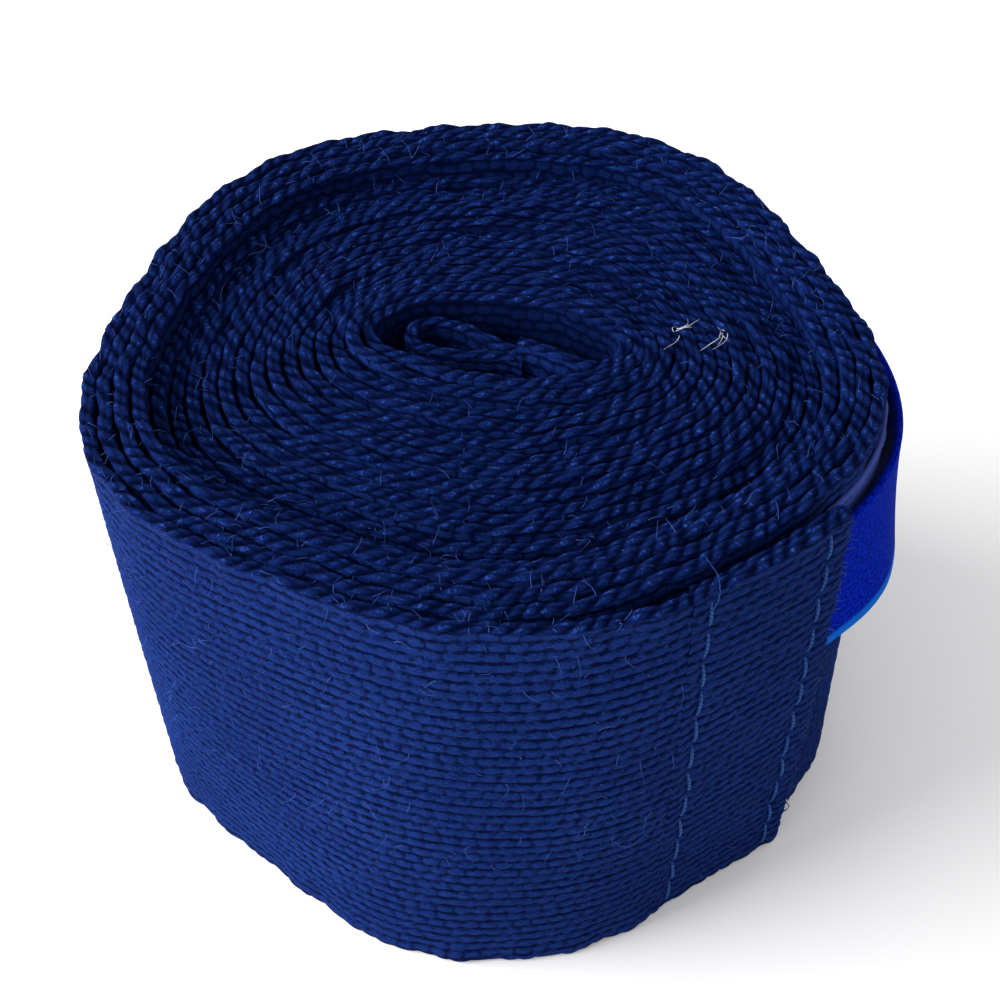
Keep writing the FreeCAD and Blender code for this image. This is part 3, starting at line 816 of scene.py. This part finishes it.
# ---------------------------------------------------------------- stitches and fibres
def model_stitch(closure):
    """One stitch: a short thread that rises from the cloth, runs along it and dives back in."""
    bpy.ops.object.select_all(action="DESELECT")
    stretch = closure.stitch_pitch * 0.86
    radius = closure.thread_radius
    bpy.ops.mesh.primitive_circle_add(vertices=8, radius=radius * 0.5, fill_type="NGON",
                                      location=(-radius * 1.6, 0, -stretch / 2))
    bpy.ops.object.mode_set(mode="EDIT")
    steps = 10
    shares = [k / steps for k in range(steps + 1)]
    bows = [math.sin(math.pi * share) ** 0.6 for share in shares]
    for before, after in zip(bows[:-1], bows[1:]):
        bpy.ops.mesh.extrude_region_move(TRANSFORM_OT_translate={
            "value": ((after - before) * radius * 1.9, 0, stretch / steps)})
        swell = (0.5 + 0.5 * after) / (0.5 + 0.5 * before)
        bpy.ops.transform.resize(value=(swell, swell, 1))
    bpy.ops.mesh.select_all(action="SELECT")
    bpy.ops.mesh.normals_make_consistent(inside=False)
    bpy.ops.object.mode_set(mode="OBJECT")
    stitch = bpy.context.active_object
    bpy.ops.object.transform_apply(location=True, rotation=True, scale=True)
    bpy.ops.object.shade_smooth()
    return stitch


def stitch_row(name, places, scene):
    """A row of stitches; each place is a matrix whose X points out of the cloth and Z along the row."""
    model = model_stitch(scene.closure_sizes)
    copies = []
    for k, place in enumerate(places):
        copy = bpy.data.objects.new("%s_%d" % (name, k), model.data.copy())
        copy.data.transform(place)
        scene.collection.objects.link(copy)
        copies.append(copy)
    bpy.data.objects.remove(model)
    bpy.ops.object.select_all(action="DESELECT")
    for copy in copies:
        copy.select_set(True)
    bpy.context.view_layer.objects.active = copies[0]
    bpy.ops.object.join()
    row = bpy.context.active_object
    row.name = name
    row.data.name = name
    dress(row, material("sewing_thread", lambda: spun_thread(scene)))
    return row


def standing(point, out, along, slant=0.0):
    """A placing matrix: X out of the cloth, Z along the row, turned a little about X."""
    x = Vector(out).normalized()
    z = Vector(along).normalized()
    y = z.cross(x).normalized()
    turned = Matrix((x, y, z)).transposed().to_4x4()
    return Matrix.Translation(Vector(point)) @ turned @ Matrix.Rotation(slant, 4, "X")


def fibres(name, roots, directions, lengths, radius, seed, tint_material):
    """Fine loose fibres as one mesh of thin, curling, pointed tubes."""
    chance = np.random.default_rng(seed)
    sides, links = 4, 6
    places, faces = [], []
    for root, direction, reach in zip(roots, directions, lengths):
        heading = np.array(direction) / np.linalg.norm(direction)
        bend = chance.normal(size=3) * 0.55
        point = np.array(root, dtype=float)
        base = len(places)
        for link in range(links + 1):
            square = np.cross(heading, (0.31, 0.52, 0.79))
            square /= np.linalg.norm(square)
            other = np.cross(heading, square)
            taper = radius * (1.0 - 0.75 * link / links)
            for side in range(sides):
                turn = 2 * math.pi * side / sides
                places.append(point + (square * math.cos(turn) + other * math.sin(turn)) * taper)
            heading = heading + (bend + chance.normal(size=3) * 0.35) * 0.45
            heading /= np.linalg.norm(heading)
            point = point + heading * reach / links
        for link in range(links):
            for side in range(sides):
                a = base + link * sides + side
                b = base + link * sides + (side + 1) % sides
                faces.append((a, b, b + sides, a + sides))
        faces.append(tuple(base + side for side in reversed(range(sides))))
        faces.append(tuple(base + links * sides + side for side in range(sides)))
    mesh = bpy.data.meshes.new(name)
    mesh.from_pydata([tuple(place) for place in places], [], faces)
    piece = bpy.data.objects.new(name, mesh)
    bpy.context.scene.collection.objects.link(piece)
    outward_faces(piece)
    dress(piece, tint_material)
    return piece


def fuzz_on(name, path, top, foot, scene, count, seed, face_share, sway):
    """Stray fibres on the upper edge and outer face of a length of band."""
    chance = np.random.default_rng(seed)
    half = scene.band_sizes.thickness / 2
    picks = chance.integers(1, len(path.run) - 1, count)
    roots, directions, lengths = [], [], []
    for pick in picks:
        out = np.array([*path.out[pick], 0.0])
        along = np.array([path.out[pick][1], -path.out[pick][0], 0.0])
        here = np.array([*path.points[pick], 0.0])
        on_face = chance.random() < face_share
        if on_face:
            height = chance.uniform(foot + 2 * MM, top - 1 * MM)
            shift = sway[pick] * (1 - height / top) ** FLARE_POWER
            roots.append(here + out * (half * 0.9 + shift) + (0, 0, height))
            directions.append(out * chance.uniform(0.2, 0.7) + along * chance.normal()
                              + (0, 0, chance.normal()))
        else:
            roots.append(here + out * half * chance.uniform(-0.8, 0.8) + (0, 0, top - 0.6 * MM))
            directions.append(out * chance.normal() * 0.7 + along * chance.normal() * 0.8 + (0, 0, 0.8))
        lengths.append(chance.uniform(0.6, 2.4) * MM)
    colours = scene.wrap_colours
    finish = material("stray_fibre", lambda: loose_fibre("stray_fibre", colours.fibre, colours.pale_yarn_and_glint))
    return fibres(name, roots, directions, lengths, 0.032 * MM, seed, finish)


# ---------------------------------------------------------------- operators
LEAF_BODIES = ("roll", "leaf_left", "leaf_front", "leaf_end")
TAB_BODIES = ("leaf_end", "tab_near", "tab_middle", "tab_tip")
BEND_REACH = 13.0           # degrees each side of an unrolling line at which bend() works out places


class Sewing:
    """Shared start of every operator that builds a piece."""

    def execute(self, context):
        self.scene = context.scene
        self.roll = Roll(self.scene)
        self.build()
        return {"FINISHED"}

    def spot(self, degrees, height=0.025, rise=0.0):
        """A place on the last turn's middle, as three numbers."""
        point = self.roll.above(np.array(float(degrees)), rise, last=True)
        return (float(point[0]), float(point[1]), height)

    def bend(self, piece, parent, child, hinge, before=BEND_REACH, after=BEND_REACH):
        """Bakes a piece's transform into its mesh; the places each side of the hinge are worked out but not
        used.
        """
        self.spot(hinge - before)
        self.spot(hinge + after)
        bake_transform(piece)


class WRAP_OT_pack(Sewing, bpy.types.Operator):
    """Winds the tight inner turns, from the thumb loop outwards"""
    bl_idname = "wrap.wind_pack"
    bl_label = "Wind the tight pack"

    def build(self):
        band = Band(self.roll)
        cuts = (("band_core", BAND_START, 1.0, "band_core_turn"),
                ("band_pack_inner", 1.0, 9.0, "band_inner_turns"),
                ("band_pack_outer", 9.0, float(self.roll.shape.pack_turns), "band_inner_turns"))
        for name, start, end, node in cuts:
            piece = band_piece(name, band, start, end, COVERED_ROWS)
            cotton(piece, self.scene)
            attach(piece, "roll")
            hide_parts(node)


class WRAP_OT_slack_turns(Sewing, bpy.types.Operator):
    """Winds the slack outer turns up to where the last turn comes loose"""
    bl_idname = "wrap.wind_slack_turns"
    bl_label = "Wind the slack turns"

    def build(self):
        band = Band(self.roll)
        loose = float(self.roll.turns_at(loose_cuts(self.roll)[0]))
        bare = loose - BARE_TURN
        cuts = (("band_slack_turns", float(self.roll.shape.pack_turns), bare, HALF_SEEN_ROWS),
                ("band_outer_turn", bare, loose, SEEN_ROWS))
        for name, start, end, rows in cuts:
            piece = band_piece(name, band, start, end, rows)
            cotton(piece, self.scene)
            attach(piece, "roll")
            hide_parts("band_outer_turns")


def loose_cuts(roll):
    """Angles where the loose turn is cut into pieces, half way between its unrolling lines."""
    first = math.degrees(roll.shape.leaf_start)
    span = math.degrees(roll.shape.leaf_span)
    return first - span / 2, first + span / 2, first + 1.5 * span, roll.hem_start + 0.5


class WRAP_OT_loose_turn(Sewing, bpy.types.Operator):
    """Lays the loose last turn, in three lengths, each round one of the lines where it unrolls"""
    bl_idname = "wrap.lay_loose_turn"
    bl_label = "Lay the loose turn"

    def build(self):
        band = Band(self.roll)
        cuts = loose_cuts(self.roll)
        first = math.degrees(self.roll.shape.leaf_start)
        span = math.degrees(self.roll.shape.leaf_span)
        names = ("band_loose_left", "band_loose_front", "band_loose_end")
        nodes = ("band_leaf_left", "band_leaf_front", "band_leaf_end")
        for k, (name, node) in enumerate(zip(names, nodes)):
            start, end = (float(self.roll.turns_at(cut)) for cut in cuts[k:k + 2])
            piece = band_piece(name, band, start, end, SEEN_ROWS)
            cotton(piece, self.scene)
            self.bend(piece, LEAF_BODIES[k], LEAF_BODIES[k + 1], first + k * span)
            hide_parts(node)


class WRAP_OT_hem(Sewing, bpy.types.Operator):
    """Folds the band's end under and presses it flat"""
    bl_idname = "wrap.fold_hem"
    bl_label = "Fold the hem"

    def build(self):
        roll, closure = self.roll, self.scene.closure_sizes
        start = loose_cuts(roll)[3]
        front = roll.last_turn(np.arange(start, roll.hem - HEM_BEND, 0.25))
        fold = (roll.hem_band - roll.hem_flap) / 2
        turns = np.radians(np.arange(15, 180, 15))
        middle_rise = (roll.hem_band + roll.hem_flap) / 2
        round_end = np.concatenate([
            roll.above(np.array([roll.hem - HEM_BEND + math.degrees(math.sin(turn) * fold) * 30]),
                       middle_rise + fold * math.cos(turn)) for turn in turns])
        back = roll.above(np.arange(roll.hem - HEM_BEND, start + 1.2, -0.25), roll.hem_flap)
        path = Path(np.concatenate([front, round_end, back])).evened(STEP * 0.8)
        turned = smooth((path.run - np.linalg.norm(np.diff(front, axis=0), axis=1).sum()) / (0.6 * MM))
        thickness = self.scene.band_sizes.thickness * (1 - turned) + closure.hem_thickness * turned
        foot, top = (corner[2] for corner in mm_box("band_leaf_end"))
        ring = section(SEEN_ROWS, 6, 7)
        seam = self.seams(path, front)
        lean = np.full(len(path.run), math.sin(math.radians((start + roll.hem) / 2 - 262.0)))
        rise = ripple(path.run, 21, (5.3 * MM, 17 * MM)) * 0.12 * MM
        tuck = 0.5 * MM * turned
        turns_here = self.turns_along(path)
        piece = strip("band_hem", path, thickness, foot + tuck, top - 0.2 * MM + rise - tuck, ring,
                      self.scene.band_sizes, seam, lean, flare=roll.foot_shift(turns_here),
                      flare_way=roll.outward(turns_here))
        flat_cloth(path)
        cotton(piece, self.scene)
        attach(piece, "leaf_end")
        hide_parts("hem_fold")

    def turns_along(self, path):
        """Turns at each point of the hem's path, from its angle about the roll's middle."""
        spots = path.points - self.roll.centre
        return self.roll.turns_at(np.degrees(np.arctan2(spots[:, 1], spots[:, 0])) % TURN)

    def seams(self, path, front):
        """How the two stitch rows pull the cloth in."""
        run = np.concatenate([[0.0], np.cumsum(np.linalg.norm(np.diff(front, axis=0), axis=1))])
        shape = np.zeros(len(path.run))
        for degrees in seam_rows(self.roll):
            here = np.linspace(loose_cuts(self.roll)[3], self.roll.hem - HEM_BEND, len(run))
            row = np.interp(degrees, here, run)
            shape -= 0.22 * MM * np.exp(-((path.run - row) / (0.6 * MM)) ** 2)
        return shape[:, None] * np.ones((1, 1))


def seam_rows(roll):
    """Angles of the hem's two stitch rows."""
    margin = roll.closure.hem_margin * roll.per_metre
    return roll.hem_start + margin, roll.hem - margin


class WRAP_OT_hem_stitches(Sewing, bpy.types.Operator):
    """Sews the hem's two upright rows"""
    bl_idname = "wrap.sew_hem"
    bl_label = "Sew the hem"

    def build(self):
        roll, scene = self.roll, self.scene
        half = scene.band_sizes.thickness / 2
        for name, degrees, seed in zip(("hem_stitch_inner", "hem_stitch_outer"), seam_rows(roll), (31, 32)):
            low, high = mm_box(name)
            pitch = scene.closure_sizes.stitch_pitch
            count = int(round((high[2] - low[2]) / pitch))
            chance = np.random.default_rng(seed)
            out = roll.outward(roll.turns_at(np.array(degrees), last=True))
            places = []
            for k in range(count):
                rise = roll.hem_band + half - 0.1 * MM
                height = low[2] + pitch * (k + 0.5)
                rise = rise + roll.foot_shift(roll.turns_at(degrees)) * (1 - height / high[2]) ** FLARE_POWER
                point = roll.above(np.array(degrees + chance.normal() * 0.12), rise)
                slant = (0.07 if k % 2 else -0.07) + chance.normal() * 0.03
                places.append(standing((*point, height), (*out, 0.0), (0, 0, 1), slant))
            row = stitch_row(name + "_thread", places, scene)
            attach(row, "leaf_end")
            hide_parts(name)


class WRAP_OT_tape(Sewing, bpy.types.Operator):
    """Lays the hook tape: sewn under the hem, then free round the side of the roll"""
    bl_idname = "wrap.lay_hook_tape"
    bl_label = "Lay the hook tape"

    def build(self):
        roll, closure = self.roll, self.scene.closure_sizes
        tab_end = roll.hem + roll.tab_span
        third = roll.tab_span / 3
        cuts = (roll.hem_start + 0.6, roll.hem + third / 2, roll.hem + third * 1.5, tab_end)
        hinges = (roll.hem + 5.0, roll.hem + third, roll.hem + 2 * third)
        reaches = (5.0, 7.0, 7.0)
        nodes = (("hook_tape_root", "hook_tape_near"), ("hook_tape_middle",), ("hook_tape_tip",))
        low, high = (corner[2] for corner in mm_box("hook_tape_near"))
        degrees = np.arange(cuts[0], tab_end + 0.2, 0.25)
        whole = Path(roll.tape(degrees)).evened(STEP)
        angles = np.interp(whole.run, Path(roll.tape(degrees)).run, degrees)
        for k, name in enumerate(("hook_tape_base", "hook_tape_centre", "hook_tape_end")):
            first, last = (int(np.argmin(np.abs(angles - cut))) for cut in cuts[k:k + 2])
            path = whole.part(first, last)
            ahead = np.maximum(whole.run[-1] - path.run, 0.0)
            corner = 2.5 * MM
            clipped = np.clip(corner - ahead, 0, corner)
            inset = corner - np.sqrt(corner ** 2 - clipped ** 2)
            here = np.interp(path.run, whole.run, angles)
            flare = 1.4 * MM * smooth((here - roll.hem) / 18.0)
            piece = strip(name, path, closure.tape_thickness, low + inset, high - inset, section(26, 8, 6),
                          flare=flare)
            flat_cloth(path)
            dress(piece, material("hook_tape_back", lambda: tape_back(self.scene)))
            self.bend(piece, TAB_BODIES[k], TAB_BODIES[k + 1], hinges[k], reaches[k], reaches[k])
            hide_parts(*nodes[k])


class WRAP_OT_patch(Sewing, bpy.types.Operator):
    """Lays the loop patch on the turn below and sews it round"""
    bl_idname = "wrap.lay_loop_patch"
    bl_label = "Lay the loop patch"

    def build(self):
        roll, closure, scene = self.roll, self.scene.closure_sizes, self.scene
        start = roll.hem + roll.border_span / 5
        end = roll.hem + roll.tab_span + 2 * roll.border_span
        low, high = (corner[2] for corner in mm_box("loop_patch"))
        path = Path(roll.above(np.arange(start, end, 0.25), roll.patch)).evened(STEP)
        piece = strip("loop_patch_pile", path, closure.patch_thickness, low, high, section(26, 4, 6))
        flat_cloth(path)
        dress(piece, material("loop_pile", lambda: brushed_pile(scene)))
        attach(piece, "roll")
        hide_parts("loop_patch")
        rise = roll.patch + closure.patch_thickness / 2 - 0.05 * MM
        pitch = closure.stitch_pitch
        for name in ("patch_stitch_top", "patch_stitch_bottom"):
            foot, head = mm_box(name)
            span = pitch * roll.per_metre
            places = []
            for degrees in np.arange(start + roll.border_span / 2 + span / 2, end - roll.border_span, span):
                point = roll.above(np.array(degrees), rise)
                out = roll.outward(roll.turns_at(np.array(degrees)))
                middle = (*point, (foot[2] + head[2]) / 2)
                places.append(standing(middle, (*out, 0.0), (-out[1], out[0], 0.0), 0.04))
            row = stitch_row(name + "_thread", places, scene)
            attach(row, "roll")
            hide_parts(name)
        foot, head = mm_box("patch_stitch_end")
        degrees = end - roll.border_span / 2
        point = roll.above(np.array(degrees), rise)
        out = roll.outward(roll.turns_at(np.array(degrees)))
        count = int(round((head[2] - foot[2]) / pitch))
        places = [standing((*point, foot[2] + pitch * (k + 0.5)), (*out, 0.0), (0, 0, 1), 0.05)
                  for k in range(count)]
        row = stitch_row("patch_stitch_end_thread", places, scene)
        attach(row, "roll")
        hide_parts("patch_stitch_end")


class WRAP_OT_thumb_loop(Sewing, bpy.types.Operator):
    """Folds the thumb loop into the core and tacks it to the band"""
    bl_idname = "wrap.fold_thumb_loop"
    bl_label = "Fold the thumb loop"

    def build(self):
        low, high = mm_box("thumb_loop")
        axis = polar(1.0, LOOP_DIRECTION)
        square = np.array([-axis[1], axis[0]])
        joint = np.array(joint_place("thumb_loop_swing")[:2])
        band = self.scene.band_sizes
        closed, reach, wide = band.thickness / 2 + LOOP_SLACK, LOOP_REACH, LOOP_HALF_WIDTH
        share = np.linspace(-LOOP_TAIL, reach, 28)[:-1]
        half = closed + (wide - closed) * smooth(share / (0.8 * reach))
        centre = joint + axis * reach
        turns = np.radians(np.linspace(-90, 90, 21))
        tip = centre + wide * (np.cos(turns)[:, None] * axis + np.sin(turns)[:, None] * square)
        arm = joint + share[:, None] * axis - half[:, None] * square
        other = joint + share[::-1, None] * axis + half[::-1, None] * square
        path = Path(np.concatenate([arm, tip, other])).evened(STEP * 0.8)
        piece = strip("thumb_loop_cloth", path, band.thickness, low[2], high[2] - 0.2 * MM,
                      section(20, 8, 7), band, None, np.zeros(len(path.run)))
        flat_cloth(path)
        cotton(piece, self.scene)
        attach(piece, "thumb_loop")
        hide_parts("thumb_loop")
        foot, head = mm_box("thumb_loop_tack")
        middle = (foot + head) / 2
        pitch = self.scene.closure_sizes.stitch_pitch
        count = int(round((head[2] - foot[2]) / pitch))
        places = [standing((middle[0], middle[1], foot[2] + pitch * (k + 0.5)), (*-square, 0.0),
                           (0, 0, 1), 0.05) for k in range(count)]
        row = stitch_row("thumb_loop_tack_thread", places, self.scene)
        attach(row, "roll")
        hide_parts("thumb_loop_tack")


class WRAP_OT_fibres(Sewing, bpy.types.Operator):
    """Scatters stray fibres along the rim and on the sides"""
    bl_idname = "wrap.scatter_fibres"
    bl_label = "Scatter stray fibres"

    def build(self):
        band, shape = Band(self.roll), self.roll.shape
        cuts = loose_cuts(self.roll)
        foot, full = (corner[2] for corner in mm_box("band_outer_turns"))
        pack = mm_box("band_inner_turns")[1][2]
        lengths = (("fuzz_pack", 0.5, float(shape.pack_turns), pack - 0.5 * MM, 500, 0.0, 41),
                   ("fuzz_slack", float(shape.pack_turns), float(self.roll.turns_at(cuts[0])),
                    full - 0.3 * MM, 500, 0.35, 42))
        for name, start, end, top, count, face_share, seed in lengths:
            path, turns = band.slice(start, end)
            still = np.zeros(len(path.run))
            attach(fuzz_on(name, path, top, foot, self.scene, count, seed, face_share, still), "roll")
        for k, name in enumerate(("fuzz_left", "fuzz_front", "fuzz_end")):
            start, end = (float(self.roll.turns_at(cut)) for cut in cuts[k:k + 2])
            path, turns = band.slice(start, end)
            piece = fuzz_on(name, path, full - 0.3 * MM, foot + 14 * MM, self.scene, 130, 51 + k, 0.75,
                            self.roll.foot_shift(turns))
            hinge = math.degrees(shape.leaf_start) + k * math.degrees(shape.leaf_span)
            self.bend(piece, LEAF_BODIES[k], LEAF_BODIES[k + 1], hinge)
        self.fringe(foot, full)
        self.lint(pack)

    def fringe(self, foot, full):
        """Ragged cut yarns along the hem's edge, and the loose end of its thread."""
        chance = np.random.default_rng(61)
        roll = self.roll
        out = np.array([*roll.outward(roll.turns_at(np.array(roll.hem))), 0.0])
        along = np.array([-out[1], out[0], 0.0])
        roots, directions, lengths = [], [], []
        for height in np.arange(foot + 4 * MM, full - 1 * MM, 0.22 * MM):
            lift = roll.foot_shift(roll.turns_at(roll.hem)) * (1 - height / full) ** FLARE_POWER
            rise = roll.hem_band + lift + chance.uniform(-0.6, 0.4) * MM
            point = roll.above(np.array(roll.hem + 0.15), rise)
            roots.append(np.array([*point, height]))
            directions.append(along + out * chance.normal() * 0.5 + np.array([0, 0, chance.normal() * 0.6]))
            lengths.append(chance.uniform(0.4, 1.1) * MM)
        colours = self.scene.wrap_colours
        finish = material("cut_yarn", lambda: loose_fibre("cut_yarn", colours.pale_yarn_and_glint, colours.yarn))
        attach(fibres("hem_fringe", roots, directions, lengths, 0.085 * MM, 62, finish), "leaf_end")
        row = seam_rows(roll)[0]
        out = np.array([*roll.outward(roll.turns_at(np.array(row))), 0.0])
        along = np.array([-out[1], out[0], 0.0])
        point = roll.above(np.array(row), roll.hem_band + 0.5 * MM)
        tail = fibres("hem_thread_tail", [np.array([*point, full - 2.5 * MM])],
                      [along * 0.8 + out * 0.25 + np.array([0, 0, 0.5])], [5.5 * MM],
                      0.09 * MM, 65, material("sewing_thread", lambda: spun_thread(self.scene)))
        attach(tail, "leaf_end")

    def lint(self, pack):
        """Two small tufts of pale lint caught on the tight turns."""
        chance = np.random.default_rng(71)
        pale = self.scene.wrap_colours.lint
        finish = material("pale_lint", lambda: loose_fibre("pale_lint", pale, [0.6 * c for c in pale]))
        for name, spot, count in (("lint_left", (17.4, 2.2), 5), ("lint_right", (21.6, 1.2), 7)):
            middle = self.roll.centre + np.array(spot) * MM
            roots = [np.array([*(middle + chance.normal(size=2) * 0.5 * MM), pack + 0.3 * MM])
                     for _ in range(count)]
            directions = [chance.normal(size=3) * (1, 1, 0.35) + (0, 0, 0.3) for _ in range(count)]
            lengths = [chance.uniform(1.2, 2.6) * MM for _ in range(count)]
            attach(fibres(name, roots, directions, lengths, 0.035 * MM, 72, finish), "roll")


CAMERA_STEEP = 46                                               # degrees down from level
CAMERA_ROLL = -1.88                                             # degrees about its own line of sight
CAMERA_FIELD = 32.08                                            # degrees, the field of view
CAMERA_DISTANCE = 140.67 * MM                                   # from the target
CAMERA_TARGET = (0.93 * MM, -19.99 * MM, 50.0 * MM)             # from the roll's centre on the floor


class WRAP_OT_stage(bpy.types.Operator):
    """Sets the floor, the soft light and the camera"""
    bl_idname = "wrap.set_stage"
    bl_label = "Set the stage"

    def execute(self, context):
        scene = context.scene
        bpy.ops.object.select_all(action="DESELECT")
        bpy.ops.mesh.primitive_plane_add(size=3.0, location=(0, 0, 0))
        floor = context.active_object
        floor.name = "studio_floor"
        floor.data.materials.append(material("studio_floor", lambda: studio_paper(scene)))
        lamps = [self.lamp("key_softbox", (-0.66, -0.02, 0.22), 0.7, 16.5),
                 self.lamp("front_fill", (-0.1, -0.95, 0.25), 0.7, 1.6)]
        camera = self.camera(scene)
        world = bpy.data.worlds.new("studio_air")
        scene.world = world
        world.use_nodes = True
        air = world.node_tree.nodes["Background"]
        air.inputs["Color"].default_value = (1, 1, 1, 1)
        air.inputs["Strength"].default_value = 0.8
        scene.view_settings.view_transform = "Standard"
        return {"FINISHED"}

    def lamp(self, name, place, size, power):
        """A square softbox that faces the roll."""
        light = bpy.data.lights.new(name, "AREA")
        light.size = size
        light.energy = power
        lamp = bpy.data.objects.new(name, light)
        lamp.location = place
        lamp.rotation_euler = (Vector((0, 0, 0.025)) - Vector(place)).to_track_quat("-Z", "Y").to_euler()
        bpy.context.scene.collection.objects.link(lamp)
        return lamp

    def camera(self, scene):
        """The camera looks steeply down on the roll from the front."""
        steep, roll = math.radians(CAMERA_STEEP), math.radians(CAMERA_ROLL)
        target = Vector((*Roll(scene).centre, 0.0)) + Vector(CAMERA_TARGET)
        back = Vector((0, -math.cos(steep), math.sin(steep)))
        right = Vector((1, 0, 0))
        up = Vector((0, math.sin(steep), math.cos(steep)))
        tilted = right * math.cos(roll) + up * math.sin(roll)
        upright = -right * math.sin(roll) + up * math.cos(roll)
        lens = bpy.data.cameras.new("front_camera")
        lens.angle = math.radians(CAMERA_FIELD)
        lens.clip_start = 0.01
        camera = bpy.data.objects.new("front_camera", lens)
        camera.matrix_world = Matrix.Translation(target + back * CAMERA_DISTANCE) @ Matrix(
            (tilted, upright, back)).transposed().to_4x4()
        scene.collection.objects.link(camera)
        scene.camera = camera
        return camera


STEPS = (WRAP_OT_pack, WRAP_OT_slack_turns, WRAP_OT_loose_turn, WRAP_OT_hem, WRAP_OT_hem_stitches,
         WRAP_OT_tape, WRAP_OT_patch, WRAP_OT_thumb_loop, WRAP_OT_fibres, WRAP_OT_stage)


class WRAP_PT_panel(bpy.types.Panel):
    """Sidebar panel that lists every step"""
    bl_idname = "WRAP_PT_panel"
    bl_label = "Hand Wrap"
    bl_space_type = "VIEW_3D"
    bl_region_type = "UI"
    bl_category = "Hand Wrap"

    def draw(self, context):
        for name in GROUPS:
            box = self.layout.box()
            box.label(text=name.replace("_", " ").capitalize())
            group = getattr(context.scene, name)
            for prop in group.bl_rna.properties:
                if prop.identifier not in ("rna_type", "name"):
                    box.prop(group, prop.identifier)
        for step in STEPS:
            self.layout.operator(step.bl_idname, text=step.bl_label)


def register():
    for name, group in GROUPS.items():
        bpy.utils.register_class(group)
        setattr(bpy.types.Scene, name, PointerProperty(type=group))
    for made in (*STEPS, WRAP_PT_panel):
        bpy.utils.register_class(made)


def unregister():
    for made in reversed((*STEPS, WRAP_PT_panel)):
        bpy.utils.unregister_class(made)
    for name, group in GROUPS.items():
        delattr(bpy.types.Scene, name)
        bpy.utils.unregister_class(group)


def main():
    """Builds the whole wrap and its stage."""
    register()
    for step in STEPS:
        area, action = step.bl_idname.split(".")
        getattr(getattr(bpy.ops, area), action)()


if __name__ == "__main__":
    main()
